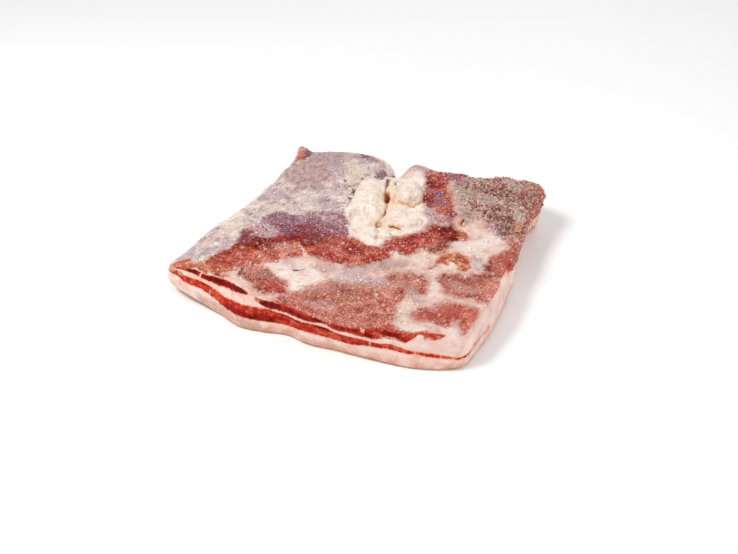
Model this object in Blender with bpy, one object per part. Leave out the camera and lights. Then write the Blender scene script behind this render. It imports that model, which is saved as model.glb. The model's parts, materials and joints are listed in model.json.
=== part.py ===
"""Salted pork belly: one cured slab, skin side down, with knobs of fat and coarse salt on its top.

Metres, +Z up. The slab rests on its flat underside at z = 0. The front is the long cut side at -Y.
"""

import math

import bmesh
import bpy
import numpy as np
from mathutils import Matrix, Vector, noise

MM = 0.001

# Plan of the slab: its four corners, then how far each side bows out from the line between them.
FRONT_LEFT = (-0.1380, -0.1150)
FRONT_RIGHT = (0.1320, -0.1145)
BACK_RIGHT = (0.1330, 0.1215)
BACK_LEFT = (-0.1240, 0.1225)
FRONT_BOW = [b * MM for b in (-4, 2.5, 6.5, 11, 19, 18, 14, 18.5, 17, 17, 16.5, 15, 9.5, 0.5)]
BACK_BOW = [b * MM for b in (0, -7, -1, 6, 3, 1, 4, 1, 4, 1, 13, 11, 0)]
LEFT_BOW = [b * MM for b in (0, -2, -5, -10, -13, -12.5, -11, -8, 0)]
RIGHT_BOW = [b * MM for b in (0, 3, 5.5, 4, 1.5, -3, -8, -11, -5)]
CORNER_RADIUS = 10 * MM

# Height of the top: a level, the height of the front edge from left to right, and humps on the level.
TOP_LEVEL = 35 * MM
FRONT_TOP = [h * MM for h in (24, 35.5, 37, 35, 36.5, 34, 32.5, 33.5, 31.5, 32.5, 34, 33.5, 35, 30.5)]
FRONT_REACH = 45 * MM  # how far back from the front edge its own height is felt
LEFT_DROP = 2.5 * MM  # the left side thins towards its edge
LEFT_REACH = 35 * MM
HUMPS = (  # x, y, height, radius
    (-0.058, 0.091, 4.0 * MM, 0.045),
    (-0.120, 0.115, 5.0 * MM, 0.014),
    (0.003, 0.115, 6.0 * MM, 0.011),
    (0.100, 0.103, 7.0 * MM, 0.036),
    (0.125, 0.113, 3.0 * MM, 0.016),
    (0.042, 0.098, 2.0 * MM, 0.030),
    (-0.078, 0.003, 2.0 * MM, 0.040),
    (0.027, -0.042, 2.0 * MM, 0.045),
    (0.007, 0.023, -2.5 * MM, 0.050),
)
SWELL_HEIGHT = 1.3 * MM
SWELL_LENGTH = 22 * MM
CLEFT = (-0.0115, 0.115)  # a fold in the back edge, deepest at the top
CLEFT_WIDTH = 7 * MM
CLEFT_DEPTH = (3 * MM, 14 * MM)  # at the foot and at the top
CLEFT_DROP = 9 * MM

# The cut walls.
FRONT_LEAN = [b * MM for b in (0, 4, 8, 9.5, 7, 0, -3.5, -4, -6, -6, -2, 0, 1.5, 0)]
RIGHT_LEAN = [b * MM for b in (0, 0, 0, 0, 0, 3, 6, 8, 5)]
EDGE_RADIUS = {"front": 2.5 * MM, "right": 4 * MM, "back": 6 * MM, "left": 8 * MM}
FOOT_RADIUS = 3 * MM
WALL_RELIEF = [r * MM for r in (0, 1.0, 0.6, -0.9, 0.5, -0.5, 0)]  # skin, fat, lean, fat, lean, top
RELIEF_LENGTH = 40 * MM  # the wall's relief comes and goes along the outline
CORNER_LIFT = 9 * MM  # the front left corner curls up off the surface
CORNER_LIFT_REACH = 72 * MM

# Knobs of fat: x, y, half length, half width, height above the slab, turn in degrees.
FAT_KNOBS = (
    (-0.0130, 0.0430, 0.0270, 0.0165, 0.010, 112),
    (-0.0045, 0.0140, 0.0240, 0.0160, 0.013, 118),
    (0.0070, -0.0110, 0.0120, 0.0100, 0.006, 60),
    (0.0155, 0.0660, 0.0240, 0.0135, 0.012, 110),
    (0.0025, 0.0610, 0.0170, 0.0090, 0.007, 104),
    (0.0290, 0.0190, 0.0190, 0.0150, 0.010, 32),
    (0.0175, 0.0140, 0.0120, 0.0090, 0.008, 100),
    (0.0220, -0.0070, 0.0080, 0.0060, 0.004, 20),
    (0.0125, -0.0200, 0.0085, 0.0060, 0.004, 150),
)
KNOB_ROUGHNESS = 0.14
KNOB_SINK = 0.3  # how far a knob's middle lies under the slab's surface, as a share of its half height
FINE_KNOB = 0.02  # knobs longer than this get finer faces

# Coarse salt.
SALT_COUNT = 160
SALT_SIZE = (2.1 * MM, 3.4 * MM)
SALT_GAP = 7.5 * MM
SALT_ON_MEMBRANE = 0.3  # share of the crystals kept on the smooth skin at the back left
MEMBRANE_EDGE = ((-0.097, -0.068), (-0.012, 0.092))  # that skin lies left of this line
SALT_SPAN = (0.035, 0.965)  # share of the slab's length and width that they keep to
SALT_CLEARANCE = 4 * MM  # from the knobs of fat
SALT_SINK = 0.28
SALT_SEED = 7

# The mesh: cells along X and Y, layers up the wall, and the band of finer cells round the edge.
CELLS_X, CELLS_Y, LAYERS = 42, 37, 6
FINE_CELLS, FINE_SHARE = 3, 0.042
ON_WALL = 1e-6


def along(values, t):
    """A smooth curve through evenly spaced values, at t from 0 to 1."""
    values = np.asarray(values, float)
    last = len(values) - 1
    s = np.clip(t, 0, 1) * last
    i = np.minimum(s.astype(int), last - 1)
    f = s - i
    a, b = values[np.maximum(i - 1, 0)], values[i]
    c, d = values[i + 1], values[np.minimum(i + 2, last)]
    return b + 0.5 * f * (c - a + f * (2 * a - 5 * b + 4 * c - d + f * (3 * (b - c) + d - a)))


def smooth(t):
    t = np.clip(t, 0, 1)
    return t * t * (3 - 2 * t)


def swell(x, y, length):
    """Soft unevenness, about -1 to 1, with features of the given length."""
    return np.array([noise.noise(Vector((p / length, q / length, 0.37))) for p, q in zip(x, y)]) * 1.8


def round_corners(a, b):
    """Square coordinates from -1 to 1 with the corners rounded, and the depth in from the outline."""
    half_x = (FRONT_RIGHT[0] - FRONT_LEFT[0]) / 2
    half_y = (BACK_LEFT[1] - FRONT_LEFT[1]) / 2
    reach_a, reach_b = CORNER_RADIUS / half_x, CORNER_RADIUS / half_y
    p = np.maximum(np.abs(a) - (1 - reach_a), 0) / reach_a
    q = np.maximum(np.abs(b) - (1 - reach_b), 0) / reach_b
    round_p, round_q = p * np.sqrt(1 - q * q / 2), q * np.sqrt(1 - p * p / 2)
    a = np.sign(a) * (np.minimum(np.abs(a), 1 - reach_a) + reach_a * round_p)
    b = np.sign(b) * (np.minimum(np.abs(b), 1 - reach_b) + reach_b * round_q)
    return a, b, CORNER_RADIUS * (1 - np.hypot(round_p, round_q))


def plan(a, b, w):
    """Plan position for square coordinates a and b at the height share w, 0 at the foot and 1 at the top."""
    u, v = (a + 1) / 2, (b + 1) / 2
    corners = np.array([FRONT_LEFT, FRONT_RIGHT, BACK_LEFT, BACK_RIGHT])
    weights = np.stack([(1 - u) * (1 - v), u * (1 - v), (1 - u) * v, u * v], -1)
    x, y = (weights @ corners).T
    x = x - (1 - u) ** 2 * along(LEFT_BOW, v) + u**2 * along(RIGHT_BOW, v)
    y = y - (1 - v) ** 2 * along(FRONT_BOW, u) + v**2 * along(BACK_BOW, u)
    x = x + u**2 * w * along(RIGHT_LEAN, v)
    y = y + (1 - v) ** 2 * w * along(FRONT_LEAN, u)
    fold = np.exp(-(((x - CLEFT[0]) / CLEFT_WIDTH) ** 2)) * smooth((v - 0.8) / 0.2) ** 2
    return x, y - fold * (CLEFT_DEPTH[0] * (1 - w) + CLEFT_DEPTH[1] * w)


def top_height(a, b, x, y):
    u, v = (a + 1) / 2, (b + 1) / 2
    from_front = v * (BACK_LEFT[1] - FRONT_LEFT[1])
    from_left = u * (FRONT_RIGHT[0] - FRONT_LEFT[0])
    z = TOP_LEVEL + sum(h * np.exp(-(((x - cx) ** 2 + (y - cy) ** 2) / r**2)) for cx, cy, h, r in HUMPS)
    z = z + (along(FRONT_TOP, u) - TOP_LEVEL) * np.exp(-((from_front / FRONT_REACH) ** 2))
    z = z - LEFT_DROP * np.exp(-((from_left / LEFT_REACH) ** 2)) * smooth(from_front / FRONT_REACH)
    z = z + SWELL_HEIGHT * swell(x, y, SWELL_LENGTH)
    cleft = ((x - CLEFT[0]) / (2 * CLEFT_WIDTH)) ** 2 + ((y - CLEFT[1]) / 0.03) ** 2
    return z - CLEFT_DROP * np.exp(-cleft)


def underside(x, y):
    """The flat underside, lifted only where the front left corner curls up."""
    away = np.hypot(x - FRONT_LEFT[0], y - FRONT_LEFT[1])
    return CORNER_LIFT * smooth(1 - away / CORNER_LIFT_REACH)


def edge_radius(a, b):
    """The radius of the top edge, blended between the four sides."""
    shares = {
        "front": np.maximum(-b, 0) ** 8,
        "back": np.maximum(b, 0) ** 8,
        "left": np.maximum(-a, 0) ** 8,
        "right": np.maximum(a, 0) ** 8,
    }
    total = sum(shares.values()) + 1e-9
    return sum(EDGE_RADIUS[side] * share for side, share in shares.items()) / total


def slab_points(u, v, w):
    """The point of the slab for each lattice point of a unit cube."""
    a, b, depth = round_corners(2 * u - 1, 2 * v - 1)
    x, y = plan(a, b, w)
    inner_x, inner_y = plan(0.98 * a, 0.98 * b, w)
    out = np.stack([x - inner_x, y - inner_y], -1)
    out /= np.linalg.norm(out, axis=1, keepdims=True) + 1e-12
    relief = along(WALL_RELIEF, w) * (0.6 + 0.5 * swell(x, y, RELIEF_LENGTH)) * (depth < ON_WALL)
    x, y = x + out[:, 0] * relief, y + out[:, 1] * relief
    top, foot = top_height(a, b, x, y), underside(x, y)
    radius = edge_radius(a, b)
    drop = radius - np.sqrt(np.maximum(radius**2 - np.maximum(radius - depth, 0) ** 2, 0))
    rise = FOOT_RADIUS - np.sqrt(np.maximum(FOOT_RADIUS**2 - np.maximum(FOOT_RADIUS - depth, 0) ** 2, 0))
    return np.stack([x, y, (foot + rise) * (1 - w) + (top - drop) * w], -1)


def finer_at_edges(t, cells):
    """Lattice shares with the cells near both ends made finer."""
    share = FINE_CELLS / cells
    return np.interp(t, [0, share, 1 - share, 1], [0, FINE_SHARE, 1 - FINE_SHARE, 1])


def add_object(name, mesh, material):
    mesh.materials.append(material)
    obj = bpy.data.objects.new(name, mesh)
    bpy.context.scene.collection.objects.link(obj)
    return obj


def make_material(name, colour, roughness):
    material = bpy.data.materials.new(name)
    material.use_nodes = True
    shader = material.node_tree.nodes["Principled BSDF"]
    shader.inputs["Base Color"].default_value = (*colour, 1)
    shader.inputs["Roughness"].default_value = roughness
    shader.inputs["Metallic"].default_value = 0
    return material


def make_slab(material):
    """A sheet of cells pulled up in layers to a block, then each point moved to its place on the slab."""
    bm = bmesh.new()
    bmesh.ops.create_grid(bm, x_segments=CELLS_X, y_segments=CELLS_Y, size=0.5)
    bmesh.ops.translate(bm, verts=bm.verts, vec=(0.5, 0.5, 0))
    faces = bm.faces[:]
    for layer in range(LAYERS):
        pulled = bmesh.ops.extrude_face_region(bm, geom=faces, use_keep_orig=True)["geom"]
        if layer > 0:
            bmesh.ops.delete(bm, geom=faces, context="FACES")
        faces = [part for part in pulled if isinstance(part, bmesh.types.BMFace)]
        points = [part for part in pulled if isinstance(part, bmesh.types.BMVert)]
        bmesh.ops.translate(bm, verts=points, vec=(0, 0, 1 / LAYERS))
    lattice = np.array([vert.co for vert in bm.verts])
    u, v = finer_at_edges(lattice[:, 0], CELLS_X), finer_at_edges(lattice[:, 1], CELLS_Y)
    for vert, place in zip(bm.verts, slab_points(u, v, lattice[:, 2])):
        vert.co = place
    bmesh.ops.recalc_face_normals(bm, faces=bm.faces)
    merge_flat_underside(bm)
    bmesh.ops.triangulate(bm, faces=bm.faces)
    mesh = bpy.data.meshes.new("pork_belly")
    bm.to_mesh(mesh)
    bm.free()
    return add_object("pork_belly", mesh, material)


def merge_flat_underside(bm):
    """The underside's flat cells become one face, as they all lie at z = 0."""
    flat = [face for face in bm.faces if all(abs(vert.co.z) < 1e-7 for vert in face.verts)]
    bmesh.ops.dissolve_faces(bm, faces=flat, use_verts=True)


def make_fat_knob(number, knob, surface, material):
    """A lumpy ball of fat, flattened, turned and sunk into the slab."""
    x, y, half_length, half_width, height, turn = knob
    half_height = height / (1 - KNOB_SINK)
    fine = half_length > FINE_KNOB
    bm = bmesh.new()
    bmesh.ops.create_icosphere(bm, subdivisions=3 if fine else 2, radius=1)
    for vert in bm.verts:
        lumps = noise.noise(vert.co * 1.7 + Vector((number * 3.1, 0, 0)))
        vert.co *= 1 + KNOB_ROUGHNESS * 2 * lumps
    size = Matrix.Diagonal((half_length, half_width, half_height, 1))
    place = Matrix.Translation((x, y, surface(x, y) + height - half_height))
    bmesh.ops.transform(bm, verts=bm.verts, matrix=place @ Matrix.Rotation(math.radians(turn), 4, "Z") @ size)
    mesh = bpy.data.meshes.new("fat_knob")
    bm.to_mesh(mesh)
    bm.free()
    return add_object(f"fat_knob_{number}", mesh, material)


def on_membrane(x, y):
    (x0, y0), (x1, y1) = MEMBRANE_EDGE
    return (x1 - x0) * (y - y0) > (y1 - y0) * (x - x0)


def clear_of_knobs(x, y):
    for cx, cy, half_length, half_width, _, turn in FAT_KNOBS:
        turn = math.radians(turn)
        p = (x - cx) * math.cos(turn) + (y - cy) * math.sin(turn)
        q = (y - cy) * math.cos(turn) - (x - cx) * math.sin(turn)
        if math.hypot(p / (half_length + SALT_CLEARANCE), q / (half_width + SALT_CLEARANCE)) < 1:
            return False
    return True


def salt_places():
    """Places on the top for the crystals, drawn by chance but no nearer to each other than the gap."""
    draw = np.random.default_rng(SALT_SEED)
    places = []
    while len(places) < SALT_COUNT:
        u, v = draw.uniform(*SALT_SPAN, 2)
        x, y, z = slab_points(np.array([u]), np.array([v]), np.ones(1))[0]
        wanted = draw.uniform() < (SALT_ON_MEMBRANE if on_membrane(x, y) else 1)
        near = any(math.hypot(x - place[0], y - place[1]) < SALT_GAP for place in places)
        if wanted and not near and clear_of_knobs(x, y):
            places.append((x, y, z))
    return places


def make_salt_crystal(number, x, y, z, draw, material):
    """A cube of salt with uneven sides, tipped at random and sunk a little into the meat."""
    size = draw.uniform(*SALT_SIZE)
    bm = bmesh.new()
    bmesh.ops.create_cube(bm, size=1)
    sides = Matrix.Diagonal((*(size * draw.uniform(0.75, 1.1, 3)), 1))
    tip = Matrix.Rotation(draw.uniform(-0.5, 0.5), 4, "X") @ Matrix.Rotation(draw.uniform(-0.5, 0.5), 4, "Y")
    turn = Matrix.Rotation(draw.uniform(0, math.pi), 4, "Z")
    place = Matrix.Translation((x, y, z + size * (0.5 - SALT_SINK)))
    bmesh.ops.transform(bm, verts=bm.verts, matrix=place @ turn @ tip @ sides)
    mesh = bpy.data.meshes.new("salt")
    bm.to_mesh(mesh)
    bm.free()
    return add_object(f"salt_{number}", mesh, material)


def fuse(slab, pieces):
    """One union joins the knobs and the crystals to the slab."""
    group = bpy.data.collections.new("on_the_slab")
    bpy.context.scene.collection.children.link(group)
    for piece in pieces:
        bpy.context.scene.collection.objects.unlink(piece)
        group.objects.link(piece)
    union = slab.modifiers.new("union", "BOOLEAN")
    union.operation = "UNION"
    union.operand_type = "COLLECTION"
    union.collection = group
    union.solver = "MANIFOLD"
    bpy.context.view_layer.objects.active = slab
    with bpy.context.temp_override(object=slab, active_object=slab):
        bpy.ops.object.modifier_apply(modifier=union.name)
    for piece in pieces:
        bpy.data.objects.remove(piece)
    bpy.data.collections.remove(group)


def build():
    for obj in list(bpy.data.objects):
        bpy.data.objects.remove(obj)
    meat = make_material("cured_pork", (0.42, 0.13, 0.10), 0.55)
    fat = make_material("fat", (0.83, 0.70, 0.58), 0.5)
    salt = make_material("coarse_salt", (0.86, 0.83, 0.80), 0.35)
    slab = make_slab(meat)
    bpy.context.view_layer.update()

    def surface(x, y):
        return slab.ray_cast(Vector((x, y, 1)), Vector((0, 0, -1)))[1].z

    pieces = [make_fat_knob(number, knob, surface, fat) for number, knob in enumerate(FAT_KNOBS)]
    draw = np.random.default_rng(SALT_SEED + 1)
    for number, place in enumerate(salt_places()):
        pieces.append(make_salt_crystal(number, *place, draw, salt))
    fuse(slab, pieces)


build()
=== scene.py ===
"""Salted pork belly: the looks of one cured slab that lies skin side down on a pale surface.

Metres, +Z up. The slab repeats the solid's own form on a finer mesh: the same plan, heights and walls. On
it come the lean, fat and silvery skin of its top, the layers of its cut sides, the knobs of fat and the
salt. Outlines and strokes are given in centimetres. The front is the long cut side at -Y.
"""

import json
import math

import bmesh
import bpy
import numpy as np
from mathutils import Matrix, Vector, noise

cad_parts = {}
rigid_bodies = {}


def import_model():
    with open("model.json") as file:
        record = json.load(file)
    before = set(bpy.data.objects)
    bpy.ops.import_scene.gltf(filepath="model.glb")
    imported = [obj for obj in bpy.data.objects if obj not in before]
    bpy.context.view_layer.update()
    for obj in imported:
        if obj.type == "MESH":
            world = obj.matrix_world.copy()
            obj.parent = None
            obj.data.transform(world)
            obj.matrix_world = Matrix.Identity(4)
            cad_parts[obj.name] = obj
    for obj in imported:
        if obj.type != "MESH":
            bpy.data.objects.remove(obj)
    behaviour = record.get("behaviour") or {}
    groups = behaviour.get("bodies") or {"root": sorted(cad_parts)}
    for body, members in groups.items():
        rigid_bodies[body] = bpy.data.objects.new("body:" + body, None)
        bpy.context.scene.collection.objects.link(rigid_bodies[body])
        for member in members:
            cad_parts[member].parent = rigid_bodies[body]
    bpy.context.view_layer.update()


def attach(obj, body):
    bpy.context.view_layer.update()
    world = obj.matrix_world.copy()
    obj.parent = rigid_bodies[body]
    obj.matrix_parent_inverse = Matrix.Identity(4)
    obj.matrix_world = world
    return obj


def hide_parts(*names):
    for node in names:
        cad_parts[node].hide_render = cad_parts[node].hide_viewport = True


MM = 0.001
CM = 0.01
ALMOST_ZERO = 1e-12  # keeps a division from failing

# ---------------------------------------------------------------------------------------------------------
# The slab's form, as the solid has it
# ---------------------------------------------------------------------------------------------------------

FRONT_LEFT = (-0.1380, -0.1150)
FRONT_RIGHT = (0.1320, -0.1145)
BACK_RIGHT = (0.1330, 0.1215)
BACK_LEFT = (-0.1240, 0.1225)
# How far each side bows out from the line between its corners.
FRONT_BOW = [b * MM for b in (-4, 2.5, 6.5, 11, 19, 18, 14, 18.5, 17, 17, 16.5, 15, 9.5, 0.5)]
BACK_BOW = [b * MM for b in (0, -7, -1, 6, 3, 1, 4, 1, 4, 1, 13, 11, 0)]
LEFT_BOW = [b * MM for b in (0, -2, -5, -10, -13, -12.5, -11, -8, 0)]
RIGHT_BOW = [b * MM for b in (0, 3, 5.5, 4, 1.5, -3, -8, -11, -5)]
CORNER_RADIUS = 10 * MM

TOP_LEVEL = 35 * MM
FRONT_TOP = [h * MM for h in (24, 35.5, 37, 35, 36.5, 34, 32.5, 33.5, 31.5, 32.5, 34, 33.5, 35, 30.5)]
FRONT_REACH = 45 * MM  # how far back from the front edge its own height is felt
LEFT_DROP = 2.5 * MM  # the left side thins towards its edge
LEFT_REACH = 35 * MM
HUMPS = (  # x, y, height, radius
    (-0.058, 0.091, 4.0 * MM, 0.045),
    (-0.120, 0.115, 5.0 * MM, 0.014),
    (0.003, 0.115, 6.0 * MM, 0.011),
    (0.100, 0.103, 7.0 * MM, 0.036),
    (0.125, 0.113, 3.0 * MM, 0.016),
    (0.042, 0.098, 2.0 * MM, 0.030),
    (-0.078, 0.003, 2.0 * MM, 0.040),
    (0.027, -0.042, 2.0 * MM, 0.045),
    (0.007, 0.023, -2.5 * MM, 0.050),
)
SWELL_HEIGHT = 1.3 * MM
SWELL_LENGTH = 22 * MM
SWELL_GAIN = 1.8  # brings the noise to about -1 to 1
SWELL_SLICE = 0.37  # the height at which the noise is read
CLEFT = (-0.0115, 0.115)  # a fold in the back edge, deepest at the top
CLEFT_WIDTH = 7 * MM
CLEFT_LENGTH = 30 * MM
CLEFT_DEPTH = (3 * MM, 14 * MM)  # at the foot and at the top
CLEFT_DROP = 9 * MM
FOLD_LENGTH = 0.2  # share of the slab's depth over which the fold comes in
FRONT_LEAN = [b * MM for b in (0, 4, 8, 9.5, 7, 0, -3.5, -4, -6, -6, -2, 0, 1.5, 0)]
RIGHT_LEAN = [b * MM for b in (0, 0, 0, 0, 0, 3, 6, 8, 5)]
EDGE_RADIUS = {"front": 2.5 * MM, "right": 4 * MM, "back": 6 * MM, "left": 8 * MM}
EDGE_BLEND = 8  # the higher, the shorter the passage from one side's radius to the next
FOOT_RADIUS = 3 * MM
WALL_RELIEF = [r * MM for r in (0, 1.0, 0.6, -0.9, 0.5, -0.5, 0)]  # skin, fat, lean, fat, lean, top
RELIEF_LENGTH = 40 * MM  # the wall's relief comes and goes along the outline
RELIEF_MEAN, RELIEF_SWING = 0.6, 0.5  # shares of it
CORNER_LIFT = 9 * MM  # the front left corner curls up off the surface
CORNER_LIFT_REACH = 72 * MM
ON_WALL = 1e-6
INWARD = 0.98  # a step back towards the middle, to find which way is out

FAT_KNOBS = (  # x, y, half length, half width, height above the slab, turn in degrees
    (-0.0130, 0.0430, 0.0270, 0.0165, 0.010, 112),
    (-0.0045, 0.0140, 0.0240, 0.0160, 0.013, 118),
    (0.0070, -0.0110, 0.0120, 0.0100, 0.006, 60),
    (0.0155, 0.0660, 0.0240, 0.0135, 0.012, 110),
    (0.0025, 0.0610, 0.0170, 0.0090, 0.007, 104),
    (0.0290, 0.0190, 0.0190, 0.0150, 0.010, 32),
    (0.0175, 0.0140, 0.0120, 0.0090, 0.008, 100),
    (0.0220, -0.0070, 0.0080, 0.0060, 0.004, 20),
    (0.0125, -0.0200, 0.0085, 0.0060, 0.004, 150),
)
KNOB_ROUGHNESS = 0.14
KNOB_LUMP = 1.7  # lumps for one unit of the ball
KNOB_SEED = 3.1  # the next knob's lumps are read this much further on
KNOB_SINK = 0.3  # how far a knob's middle lies under the slab's surface, as a share of its half height

SALT_COUNT = 160
SALT_SIZE = (2.1 * MM, 3.4 * MM)
SALT_GAP = 7.5 * MM
SALT_ON_MEMBRANE = 0.3  # share of the crystals kept on the smooth skin at the back left
MEMBRANE_EDGE = ((-0.097, -0.068), (-0.012, 0.092))  # that skin lies left of this line
SALT_SPAN = (0.035, 0.965)  # share of the slab's length and width that they keep to
SALT_CLEARANCE = 4 * MM  # from the knobs of fat
SALT_SINK = 0.28  # share of a crystal's size that lies in the slab
SALT_SIDES = (0.75, 1.1)  # shares of a crystal's size
SALT_TIP = 0.5  # radians
SALT_SEED = 7
SALT_WORN = 0.85  # what the damp leaves of a crystal
SALT_MIDDLE = 0.4  # how high a worn crystal's middle is above its foot, as a share of its size

# The fine mesh: cells along X and Y, layers up the wall, and the band of finer cells round the edge.
CELLS_X, CELLS_Y, LAYERS = 276, 250, 24
FINE_CELLS, FINE_SHARE = 11, 0.026


def along(values, t):
    """A smooth curve through evenly spaced values, at t from 0 to 1."""
    values = np.asarray(values, float)
    last = len(values) - 1
    s = np.clip(t, 0, 1) * last
    i = np.minimum(s.astype(int), last - 1)
    f = s - i
    a, b = values[np.maximum(i - 1, 0)], values[i]
    c, d = values[i + 1], values[np.minimum(i + 2, last)]
    return b + 0.5 * f * (c - a + f * (2 * a - 5 * b + 4 * c - d + f * (3 * (b - c) + d - a)))


def smooth(t):
    """A soft step from 0 to 1 as t goes from 0 to 1."""
    t = np.clip(t, 0, 1)
    return t * t * (3 - 2 * t)


def swell(x, y, length):
    """Soft unevenness, about -1 to 1, with features of the given length."""
    spots = zip(x / length, y / length)
    return np.array([noise.noise(Vector((p, q, SWELL_SLICE))) for p, q in spots]) * SWELL_GAIN


def round_corners(a, b):
    """Square coordinates from -1 to 1 with the corners rounded, and the depth in from the outline."""
    half_x = (FRONT_RIGHT[0] - FRONT_LEFT[0]) / 2
    half_y = (BACK_LEFT[1] - FRONT_LEFT[1]) / 2
    reach_a, reach_b = CORNER_RADIUS / half_x, CORNER_RADIUS / half_y
    p = np.maximum(np.abs(a) - (1 - reach_a), 0) / reach_a
    q = np.maximum(np.abs(b) - (1 - reach_b), 0) / reach_b
    round_p, round_q = p * np.sqrt(1 - q * q / 2), q * np.sqrt(1 - p * p / 2)
    a = np.sign(a) * (np.minimum(np.abs(a), 1 - reach_a) + reach_a * round_p)
    b = np.sign(b) * (np.minimum(np.abs(b), 1 - reach_b) + reach_b * round_q)
    return a, b, CORNER_RADIUS * (1 - np.hypot(round_p, round_q))


def plan(a, b, w):
    """Plan position for square coordinates a and b at height share w, 0 at the foot and 1 at the top."""
    u, v = (a + 1) / 2, (b + 1) / 2
    corners = np.array([FRONT_LEFT, FRONT_RIGHT, BACK_LEFT, BACK_RIGHT])
    weights = np.stack([(1 - u) * (1 - v), u * (1 - v), (1 - u) * v, u * v], -1)
    x, y = (weights @ corners).T
    x = x - (1 - u) ** 2 * along(LEFT_BOW, v) + u**2 * along(RIGHT_BOW, v)
    y = y - (1 - v) ** 2 * along(FRONT_BOW, u) + v**2 * along(BACK_BOW, u)
    x = x + u**2 * w * along(RIGHT_LEAN, v)
    y = y + (1 - v) ** 2 * w * along(FRONT_LEAN, u)
    fold = np.exp(-(((x - CLEFT[0]) / CLEFT_WIDTH) ** 2)) * smooth((v - (1 - FOLD_LENGTH)) / FOLD_LENGTH) ** 2
    return x, y - fold * (CLEFT_DEPTH[0] * (1 - w) + CLEFT_DEPTH[1] * w)


def top_height(a, b, x, y):
    """Height of the top before its edges are rounded."""
    u, v = (a + 1) / 2, (b + 1) / 2
    from_front = v * (BACK_LEFT[1] - FRONT_LEFT[1])
    from_left = u * (FRONT_RIGHT[0] - FRONT_LEFT[0])
    z = TOP_LEVEL + sum(h * np.exp(-(((x - cx) ** 2 + (y - cy) ** 2) / r**2)) for cx, cy, h, r in HUMPS)
    z = z + (along(FRONT_TOP, u) - TOP_LEVEL) * np.exp(-((from_front / FRONT_REACH) ** 2))
    z = z - LEFT_DROP * np.exp(-((from_left / LEFT_REACH) ** 2)) * smooth(from_front / FRONT_REACH)
    z = z + SWELL_HEIGHT * swell(x, y, SWELL_LENGTH)
    cleft = ((x - CLEFT[0]) / (2 * CLEFT_WIDTH)) ** 2 + ((y - CLEFT[1]) / CLEFT_LENGTH) ** 2
    return z - CLEFT_DROP * np.exp(-cleft)


def underside(x, y):
    """The flat underside, lifted only where the front left corner curls up."""
    away = np.hypot(x - FRONT_LEFT[0], y - FRONT_LEFT[1])
    return CORNER_LIFT * smooth(1 - away / CORNER_LIFT_REACH)


def edge_radius(a, b):
    """The radius of the top edge, blended between the four sides."""
    outward = {"front": -b, "back": b, "left": -a, "right": a}
    shares = {side: np.maximum(place, 0) ** EDGE_BLEND for side, place in outward.items()}
    total = sum(shares.values()) + ALMOST_ZERO
    return sum(EDGE_RADIUS[side] * share for side, share in shares.items()) / total


def rounding(radius, depth):
    """How far a rounded edge stays back at that depth in from the outline."""
    return radius - np.sqrt(np.maximum(radius**2 - np.maximum(radius - depth, 0) ** 2, 0))


def slab_points(u, v, w):
    """The point of the slab for each lattice point of a unit cube."""
    a, b, depth = round_corners(2 * u - 1, 2 * v - 1)
    x, y = plan(a, b, w)
    inner_x, inner_y = plan(INWARD * a, INWARD * b, w)
    out = np.stack([x - inner_x, y - inner_y], -1)
    out /= np.linalg.norm(out, axis=1, keepdims=True) + ALMOST_ZERO
    strength = RELIEF_MEAN + RELIEF_SWING * swell(x, y, RELIEF_LENGTH)
    relief = along(WALL_RELIEF, w) * strength * (depth < ON_WALL)
    x, y = x + out[:, 0] * relief, y + out[:, 1] * relief
    top, foot = top_height(a, b, x, y), underside(x, y)
    radius = edge_radius(a, b)
    low, high = foot + rounding(FOOT_RADIUS, depth), top - rounding(radius, depth)
    return np.stack([x, y, low * (1 - w) + high * w], -1)


def finer_at_edges(t, cells):
    """Lattice shares with the cells near both ends made finer."""
    share = FINE_CELLS / cells
    return np.interp(t, [0, share, 1 - share, 1], [0, FINE_SHARE, 1 - FINE_SHARE, 1])


# ---------------------------------------------------------------------------------------------------------
# What grows where: outlines and strokes on the top, in centimetres, and layers on the cut sides
# ---------------------------------------------------------------------------------------------------------

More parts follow.
